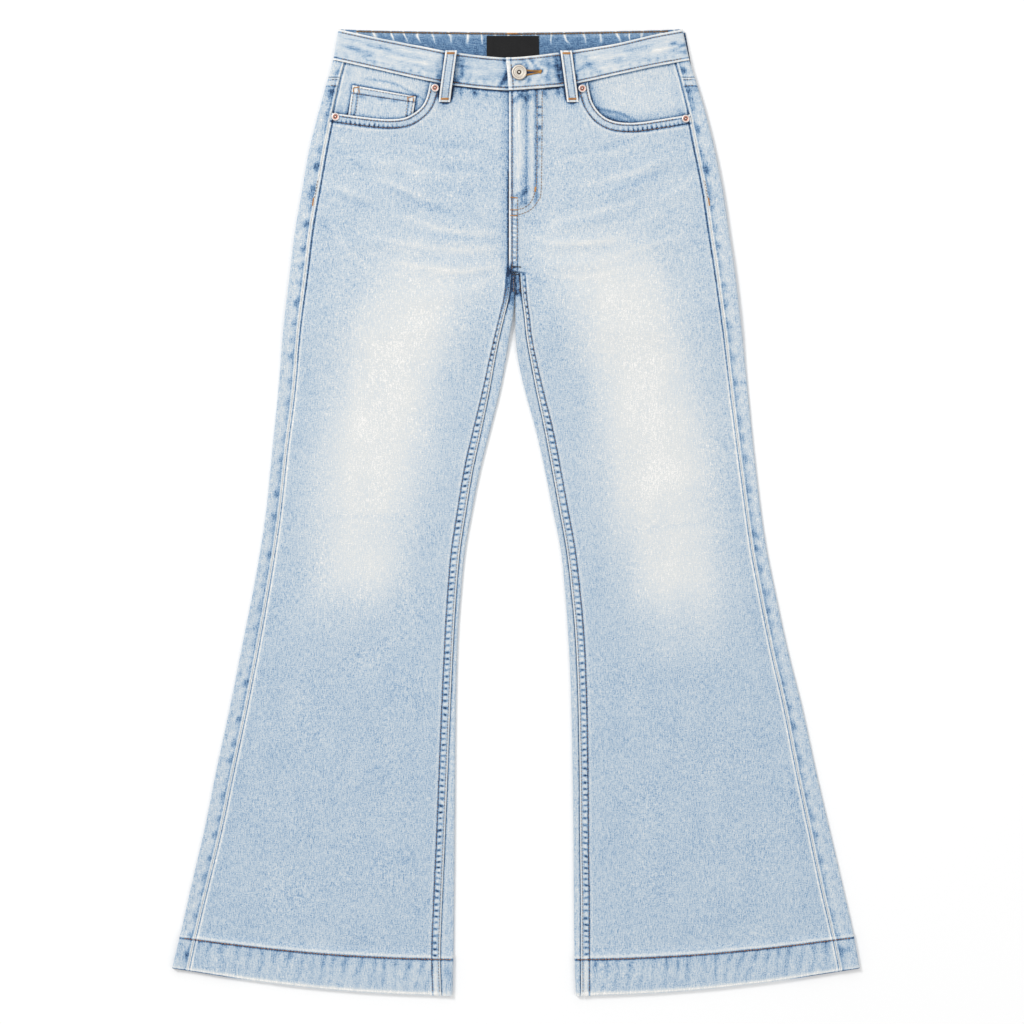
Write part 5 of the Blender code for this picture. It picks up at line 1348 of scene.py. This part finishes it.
# The sewing: topstitching of thick polyester thread, brown, tan and orange, in single and double
# rows. Each stitch is a short thread that dives into the cloth at both ends.
def thread(name, dark, light):
    made, tree, shader = new_finish(name, Roughness=0.6, Sheen_Weight=0.15)
    place = tree.nodes.new("ShaderNodeTexCoord").outputs["Object"]
    worn, fibres = noise(tree, place, (130, 130, 130), 2), noise(tree, place, (2600, 2600, 2600), 1)
    mixed = maths(tree, "MULTIPLY_ADD", fibres, 0.3, maths(tree, "MULTIPLY", worn, 0.7))
    tree.links.new(colours(tree, mixed, [(0.32, dark), (0.68, light)]), shader.inputs["Base Color"])
    raise_fine(tree, shader, fibres, 0.1 * MM)
    return made


BROWN = thread("brown_thread", (84, 66, 58), (142, 112, 90))
TAN = thread("tan_thread", (104, 88, 80), (164, 138, 116))
RUSSET = thread("russet_thread", (98, 64, 44), (168, 122, 88))
ORANGE = thread("orange_thread", (140, 92, 46), (206, 148, 84))
MUSTARD = thread("mustard_thread", (122, 84, 32), (186, 136, 62))
# How far threads stand up from what they are sewn on: on a panel, on the band, on a rolled side, in a bartack
ROW_LIFT, BAND_LIFT, SIDE_LIFT, BAR_LIFT = 0.05, 0.08, 0.15, 0.35
THREAD_SIDES = 6
# Along the thread, share of its radius, rise
THREAD_RINGS = [
    (-0.5, 0.55, -0.30), (-0.36, 0.95, 0.02), (0.0, 1.0, 0.12), (0.36, 0.95, 0.02), (0.5, 0.55, -0.30),
]


def face_outwards(made):
    """Turns the faces of a closed piece outwards, and leaves the piece selected."""
    bpy.ops.object.select_all(action="DESELECT")
    made.select_set(True)
    bpy.context.view_layer.objects.active = made
    bpy.ops.object.mode_set(mode="EDIT")
    bpy.ops.mesh.select_all(action="SELECT")
    bpy.ops.mesh.normals_make_consistent(inside=False)
    bpy.ops.object.mode_set(mode="OBJECT")


def threads(name, centres, ways, lengths, finish, radius=0.46, up=1):
    """One joined mesh of short threads, each at a centre and along a way."""
    ways = ways / np.linalg.norm(ways, axis=1)[:, None]
    sides = np.cross(ways, np.array([0, 0, float(up)]))
    sides /= np.linalg.norm(sides, axis=1)[:, None]
    tops = np.cross(sides, ways)
    points = []
    for along, wide, rise in THREAD_RINGS:
        for k in range(THREAD_SIDES):
            turn = math.tau * k / THREAD_SIDES
            points.append(
                centres + ways * (along * lengths)[:, None] + sides * (radius * wide * math.cos(turn))
                + tops * (rise + radius * wide * math.sin(turn))
            )
    points = np.stack(points, 1).reshape(-1, 3) * MM
    around, last = np.arange(THREAD_SIDES), (len(THREAD_RINGS) - 1) * THREAD_SIDES
    after = np.roll(around, -1)
    ring = np.stack([around, after, after + THREAD_SIDES, around + THREAD_SIDES], 1)
    tube = np.concatenate([ring + step for step in range(0, last, THREAD_SIDES)])
    firsts = (last + THREAD_SIDES) * np.arange(len(centres))[:, None]
    quads = (tube[None] + firsts[..., None]).reshape(-1, 4)
    caps = np.stack([firsts + around[::-1], firsts + last + around], 1).reshape(-1, THREAD_SIDES)
    mesh = bpy.data.meshes.new(name)
    mesh.from_pydata(points.tolist(), [], quads.tolist() + caps.tolist())
    mesh.materials.append(finish)
    made = placed(name, mesh)
    face_outwards(made)
    made.select_set(False)
    mesh.shade_smooth()
    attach(made, "root")
    return made


def along_path(path, pitch):
    """Centres and ways of stitches a pitch apart along a path of places."""
    run = lengths_along(path)
    at = np.arange(pitch / 2, run[-1] - pitch / 3, pitch)
    return places_at(path, run, at), places_at(path, run, at + 1.2) - places_at(path, run, at - 1.2)


def sewn(name, rows, finish, pitch=3.4, share=0.72, radius=0.5, up=1, seed=1):
    """Rows of stitches, each row a path of places in x, y, z, as one piece."""
    draw = np.random.default_rng(seed)
    pairs = [along_path(row, pitch) for row in rows]
    centres, ways = np.concatenate([p[0] for p in pairs]), np.concatenate([p[1] for p in pairs])
    centres[:, :2] += draw.normal(0, 0.06, (len(centres), 2))
    lengths = pitch * share * draw.uniform(0.92, 1.06, len(centres))
    return threads(name, centres, ways, lengths, finish, radius, up)


def bar(centre, way, length, width, lift, spacing=0.5):
    """Centres, ways and lengths of the close threads of a bartack that runs along a way."""
    way = np.array(way, float) / np.hypot(*way)
    count = max(int(length / spacing), 3)
    at = np.linspace(-0.5, 0.5, count) * (length - 0.6)
    centres = np.array([[centre[0] + way[0] * a, centre[1] + way[1] * a, lift] for a in at])
    ways = np.repeat([[-way[1] + 0.12 * way[0], way[0] + 0.12 * way[1], 0.0]], count, 0)
    return centres, ways, np.full(count, width)


def row_of(x, y, z):
    """A path of places, where a value that stays the same may be given once."""
    return np.stack(np.broadcast_arrays(x, y, z), 1)


def on_front(leg, places):
    """Places given as out and y, put on the front panel."""
    out, y = np.asarray(places, float).T
    return row_of(SIGN[leg] * out, y, front_height(leg, out, y) + ROW_LIFT)


def moved(path, away):
    """The path moved sideways, to the side that the panel is on."""
    return path + away * crosswise(path)


# Inseams: two rows on the ridge of the felled seam, then the hems
for leg in SIGN:
    y = np.arange(-527.0, 250.0, 4.0)
    outer = on_front(leg, np.stack([front_edge(leg, y) + 1.9, y], 1))
    sewn(f"inseam_outer_stitches_{leg}", [outer], TAN, radius=0.34, seed=101)
    inner_stitches = on_front(leg, np.stack([front_edge(leg, y) + inner_row(leg, y), y], 1))
    sewn(f"inseam_inner_stitches_{leg}", [inner_stitches], BROWN, radius=0.38, seed=112)
    out = np.linspace(float(inner(leg, -487)) + 2.6, float(outline(leg, -466)) - 2.6, 160)
    y = front_y(leg, out, HEM_ROW)
    edge, seam = float(front_edge(leg, -500)), float(side_seam(leg, -470))
    z = np.where((out > edge) & (out < seam), front_height(leg, out, y), top_height(leg, out, y))
    sewn(f"hem_stitches_{leg}", [row_of(SIGN[leg] * out, y, z + ROW_LIFT)], RUSSET, radius=0.62, seed=102)

# Pocket openings: two rows round each
for leg in SIGN:
    path = curve_through(OPENING[leg], 8)
    rows = [on_front(leg, moved(path[:-3], away)) for away in (2.5, 9.4)]
    sewn(f"opening_stitches_{leg}", rows, BROWN, seed=103)

# Side seams: one row beside the seam down to an orange bartack, and the yoke's two rows
SIDE_BAR_Y, YOKE_ROWS = 342.3, (476.9, 470.3)
for leg in SIGN:
    y = np.arange(346.0, 369.0, 3.0)
    out = side_seam(leg, y) + 1.3
    z = top_height(leg, out, y) + strip_relief(leg, y, out - side_seam(leg, y)) + ROW_LIFT
    rows = [row_of(SIGN[leg] * out, y, z)]
    for y in YOKE_ROWS:
        out = np.linspace(float(side_seam(leg, y)) + 1.5, float(outline(leg, y)) - 2.0, 8)
        rows.append(row_of(SIGN[leg] * out, y, top_height(leg, out, y) + SIDE_LIFT))
    sewn(f"side_stitches_{leg}", rows, BROWN, radius=0.36, share=0.7, seed=104)

# Fly: the lap's edge row, the curved double row that holds the shield, and the crotch seam's row
FLY_INNER = [
    (23.1, 464), (23.2, 400), (22.4, 359), (20.8, 352.6), (16.2, 341.8), (9, 335.8), (1.9, 333.6), (-5.8, 333.2),
]
FLY_OUTER = [
    (28.8, 464), (28.4, 400), (27.5, 353), (24, 343), (17.4, 334.6), (9, 329.9), (1.9, 327.8), (-5.8, 326.8),
]
CROTCH_ROW = [(1.9, 345), (1.3, 300), (0.7, 276)]
y = np.arange(268.0, 463.0, 3.0)
fly_rows = [on_front("right", np.stack([front_edge("right", y) + 3.4, y], 1))]
for row, steps in ((FLY_INNER, 8), (FLY_OUTER, 8), (CROTCH_ROW, 12)):
    fly_rows.append(on_front("right", curve_through(row, steps)))
sewn("fly_stitches", fly_rows, TAN, share=0.86, radius=0.42, seed=105)

# Waistband: a row along each edge, and the row that shows inside the back band
rows = []
for start, stop, on_lap in ((-192.0, BAND_LAP_X - 1.5, 0.0), (BAND_LAP_X + 4.6, 184.0, 1.0)):
    x = np.arange(start, stop, 2.5)
    lift = band_height(x) if on_lap else float(band_height(LAP_EASE_X))
    for y in (smooth(BAND_FRONT, 2, x) + SEAM_GAP / 2 + BAND_ROW, smooth(BAND_FRONT, 1, x) - BAND_ROW):
        rows.append(row_of(x, y, lift + band_relief(x, y, on_lap) + BAND_LIFT))
y = np.arange(469.5, 497.0, 2.0)
x = lap_edge(y) + LAP_ROW
rows.append(row_of(x, y, band_height(x) + band_relief(x, y, 1.0) + BAND_LIFT))
sewn("waistband_stitches", rows, BROWN, seed=106)
x = np.arange(-176.0, 170.0, 4.0)
y = smooth(BACK_TOP, 1, abs(x) / half_width(x, TOP_LEVEL)) - 1.5
inner_band = [row_of(x, y, SEAT_LIFT + BAND + 0.2)]
edge_thread = thread("edge_thread", (84, 64, 46), (132, 102, 72))
sewn("inner_band_stitches", inner_band, edge_thread, radius=1.0, share=0.95, seed=107)

# Coin pocket: two rows down each side and two along its hem
rows = []
near, far = COIN_EDGE_ROW / COIN_WIDE, COIN_ROW / COIN_WIDE + 0.02
coin_rows = [(across, np.linspace(0.12, 0.97, 14)) for across in (near, far, 1 - far, 1 - near)]
coin_rows += [(np.linspace(0.03, 0.97, 20), 1 - row / COIN_LONG) for row in (COIN_EDGE_ROW, COIN_HEM)]
for across, up in coin_rows:
    out, y = coin_place(across, up)
    rows.append(row_of(-out, y, coin_height(across, up) + ROW_LIFT))
sewn("coin_pocket_stitches", rows, TAN, radius=0.33, seed=108)

# Belt loops: a row down each edge
rows = []
for leg in SIGN:
    for across in (LOOP_ROW, LOOP_WIDTH - LOOP_ROW):
        rows.append(row_of(*loop_surface(leg, across, np.linspace(0.05, 0.95, 30))) + [0, 0, BAND_LIFT])
sewn("loop_stitches", rows, BROWN, radius=0.3, pitch=2.9, seed=109)

# The underside: the seat's pockets, the yoke seams and the centre-back seam, each sewn twice
rows = []
for leg in SIGN:
    for inset in POCKET_ROWS:
        side, low = 1 - inset / POCKET_HALF, inset / POCKET_LONG
        corners = [(-side, 0.99), (-side, low), (0, low), (side, low), (side, 0.99)]
        for (a, b), (c, d) in zip(corners, corners[1:]):
            t = np.linspace(0, 1, 30)
            rows.append(row_of(*pocket_place(leg, blend(a, c, t), blend(b, d, t)), 0.6))
    for drop in (2.2, 8.6):
        out = np.linspace(4, float(outline(leg, 470)) - 9, 60)
        y = smooth(YOKE_SEAM, 1, out / outline(leg, YOKE_LEVEL)) - drop
        rows.append(row_of(SIGN[leg] * out, y, SEAT_LIFT - ROW_LIFT))
for away in (2.2, 8.4):
    y = np.arange(272.0, 420.0, 4.0)
    rows.append(row_of(-centre_back("left", y) - away, y, SEAT_LIFT - ROW_LIFT))
sewn("seat_stitches", rows, TAN, pitch=3.6, up=-1, seed=110)

# Bartacks of orange thread: on the loops, at the ends of the side stitching, on the fly and the
# coin pocket's corners, and the close stitches round the buttonhole
def whole(bars):
    """The centres, ways and lengths of several bars together."""
    return [np.concatenate([part[i] for part in bars]) for i in range(3)]


# Middle, way, length and width of the ones on the fly
FLY_BARS = [
    ((21.2, 356), (0.15, 1), 5.6, 2.0), ((-2.0, 346.6), (1, -0.1), 8.4, 1.3),
    ((-2.6, 333.2), (1, 0), 8.0, 1.0), ((-2.6, 327.0), (1, 0), 8.0, 1.0),
]
# Across and up from a corner of the coin pocket, way and length: one along its top, two beside it
COIN_BARS = [(0.0, 0.955, (1, 0.18), 6.0), (-0.045, 0.86, (0.1, -1), 4.2), (0.045, 0.86, (0.1, -1), 4.2)]
# From, to and width of the ones round the buttonhole
HOLE_BARS = [
    ((10.5, 486.0), (27.5, 484.9), 2.0), ((10.5, 480.6), (27.5, 484.1), 2.0), ((26.4, 482.9), (27.4, 486.1), 2.2),
]
bars = []
for leg in SIGN:
    for up in (0.06, 0.945):
        x, y, z = loop_surface(leg, LOOP_WIDTH / 2, up)
        bars.append(bar((x, y), (1, 0), 8.6, 2.4, z + BAR_LIFT))
    out = float(side_seam(leg, SIDE_BAR_Y)) + 2.0
    lift = float(top_height(leg, out, SIDE_BAR_Y)) + BAR_LIFT
    bars.append(bar((SIGN[leg] * out, SIDE_BAR_Y), (-0.13 * SIGN[leg], 1), 8.8, 1.6, lift))
for place, way, length, width in FLY_BARS:
    bars.append(bar(place, way, length, width, float(front_height("right", *place)) + BAR_LIFT))
for across in (0.07, 0.93):
    for shift, up, way, length in COIN_BARS:
        out, y = coin_place(across + shift, up)
        bars.append(bar((-out, y), way, length, 1.1, float(coin_height(across, up)) + 0.3))
bars.append(bar((-4.2, 527.6), (1, 0), 11.6, 1.6, SEAT_LIFT + BAND + 1.3))
threads("bartacks", *whole(bars), ORANGE, radius=0.33)
bars = []
lift = float(band_height(LAP_EASE_X)) + BAND_LAP + 0.25
for a, b, width in HOLE_BARS:
    way = (b[0] - a[0], b[1] - a[1])
    bars.append(bar(((a[0] + b[0]) / 2, (a[1] + b[1]) / 2), way, math.hypot(*way) + 1.2, width, lift, 0.55))
threads("buttonhole_stitches", *whole(bars), MUSTARD, radius=0.34)

# The cross seam at the fork, in near-black thread, and the rows on the back rise below it
DARK = thread("dark_thread", (18, 20, 32), (56, 50, 56))
fork_row = on_front("right", [(-5.5, 271.2), (0, 270.6), (5.8, 270.4)])
TAB_ROWS = [[(-4.4, 262.6), (5.6, 262.2)], [(-2.8, 260), (-2.6, 241)], [(4.4, 260), (4.2, 241)]]
tab_rows = []
for (ax, ay), (bx, by) in TAB_ROWS:
    t = np.linspace(0, 1, 8)
    x, y = blend(ax, bx, t), blend(ay, by, t)
    height = np.where(x < -1, top_height("left", -x, y), top_height("right", x, y))
    tab_rows.append(row_of(x, y, height + SIDE_LIFT))
sewn("fork_stitches", [fork_row, tab_rows[0]], DARK, pitch=2.8, share=0.9, radius=0.75, seed=111)
sewn("tab_stitches", tab_rows[1:], TAN, pitch=2.8, radius=0.4, seed=113)

# The waist button: a pressed metal cap with sunk rings, on a neck that stands in the eyelet. The
# rivets are small copper domes with a sunk centre. Each is drawn up ring by ring from a disc.
def ringed(name, place, rings, sides, finish):
    """A turned piece: a disc at the first radius and height, carried up through the others."""
    bpy.ops.object.select_all(action="DESELECT")
    radius, height = rings[0]
    widest = max(ring[0] for ring in rings)
    x, y = place
    bpy.ops.mesh.primitive_circle_add(
        vertices=sides, radius=radius * MM, fill_type="NGON", location=(x * MM, y * MM, height * MM)
    )
    made = bpy.context.object
    made.name = name
    bpy.ops.object.mode_set(mode="EDIT")
    bpy.ops.mesh.select_all(action="SELECT")
    for next_radius, next_height in rings[1:]:
        rise = (next_height - height) * MM
        bpy.ops.mesh.extrude_region_move(TRANSFORM_OT_translate={"value": (0, 0, rise)})
        scale = next_radius / radius
        bpy.ops.transform.resize(value=(scale, scale, 1), center_override=(x * MM, y * MM, next_height * MM))
        radius, height = next_radius, next_height
    bpy.ops.object.mode_set(mode="OBJECT")
    face_outwards(made)
    bpy.ops.object.transform_apply(location=True, rotation=True, scale=True)
    soft = made.modifiers.new("soft", "BEVEL")
    soft.width, soft.segments, soft.limit_method, soft.angle_limit = 0.12 * MM, 2, "ANGLE", math.radians(25)
    bpy.ops.object.modifier_apply(modifier="soft")
    made.data.shade_smooth()
    made.data.set_sharp_from_angle(angle=math.radians(40))
    made.data.materials.append(finish)
    reach = made.data.attributes.new("reach", "FLOAT", "POINT")
    away = [math.hypot(v.co.x / MM - x, v.co.y / MM - y) for v in made.data.vertices]
    reach.data.foreach_set("value", [value / widest for value in away])
    made.select_set(False)
    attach(made, "root")
    return made


def metal(name, bands, rough):
    """Worn metal in rings of tarnish, its dark outer rim partly painted shade: bands of how far from the middle,
    and what colour.
    """
    made, tree, shader = new_finish(name, Metallic=0.7)
    place = tree.nodes.new("ShaderNodeTexCoord").outputs["Object"]
    worn, fine = noise(tree, place, (420, 420, 420), 3), noise(tree, place, (2400, 2400, 2400), 2)
    shift = maths(tree, "MULTIPLY_ADD", worn, 0.06, maths(tree, "SUBTRACT", read(tree, "reach"), 0.03))
    tree.links.new(colours(tree, shift, bands), shader.inputs["Base Color"])
    tree.links.new(maths(tree, "MULTIPLY_ADD", fine, 0.3, rough), shader.inputs["Roughness"])
    raise_fine(tree, shader, fine, 0.05 * MM)
    return made


neck = float(band_height(LAP_EASE_X)) + SEAM_GAP
cap = float(band_height(BUTTON[0])) + SEAM_GAP
# From the cap's foot: radius, rise
BUTTON_RINGS = [
    (3.2, 0), (7.6, 0), (8.3, 0.35), (8.5, 0.9), (8.3, 1.7), (7.7, 2.2), (7.0, 2.35), (6.2, 2.2), (5.9, 1.75),
    (5.5, 1.65), (4.9, 1.8), (4.2, 1.75), (3.4, 1.6), (2.5, 1.55), (2.3, 0.9), (1.5, 0.9), (1.3, 1.7), (0.9, 2.0),
    (0.3, 2.1),
]
button_rings = [(BUTTON_RINGS[0][0], neck)] + [(radius, cap + rise) for radius, rise in BUTTON_RINGS]
# The last band is the dark rim of the cap's steep flank, partly painted shade
button_metal = metal("button_metal", [
    (0.0, (236, 232, 224)), (0.10, (226, 220, 210)), (0.15, (64, 56, 50)), (0.25, (84, 74, 66)),
    (0.31, (196, 188, 176)), (0.46, (222, 216, 206)), (0.50, (176, 168, 156)), (0.56, (216, 208, 196)),
    (0.68, (206, 198, 186)), (0.72, (158, 148, 136)), (0.78, (222, 214, 202)), (0.94, (206, 196, 184)),
    (1.0, (96, 88, 84)),
], 0.35)
button = ringed("waist_button_cap", BUTTON, button_rings, 64, button_metal)
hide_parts("waist_button")

RIVETS = {
    "left_inner": (-88.9, 467.0), "left_outer": (-198.4, 435.4),
    "right_inner": (72.9, 466.5), "right_outer": (186.6, 433.5),
}
# The last band is the dark rim of the dome's steep flank, partly painted shade
rivet_copper = metal("rivet_copper", [
    (0.0, (244, 238, 232)), (0.13, (226, 208, 198)), (0.22, (70, 46, 44)), (0.36, (104, 66, 60)),
    (0.46, (204, 150, 134)), (0.62, (212, 160, 144)), (0.72, (236, 224, 218)), (0.90, (226, 220, 216)),
    (1.0, (70, 60, 66)),
], 0.3)
# From the seat: radius, rise
RIVET_RINGS = [
    (4.3, 0), (4.5, 0.3), (4.2, 0.85), (3.6, 1.2), (2.9, 1.2), (2.5, 0.75), (2.0, 0.6), (1.7, 0.65), (1.4, 1.0),
    (0.8, 1.15), (0.3, 1.2),
]
for name, (x, y) in RIVETS.items():
    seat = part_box(f"rivet_{name}")[0][2] / MM
    rings = [(radius, seat + rise) for radius, rise in RIVET_RINGS]
    rivet = ringed(f"rivet_{name}_cap", (x, y), rings, 40, rivet_copper)
    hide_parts(f"rivet_{name}")
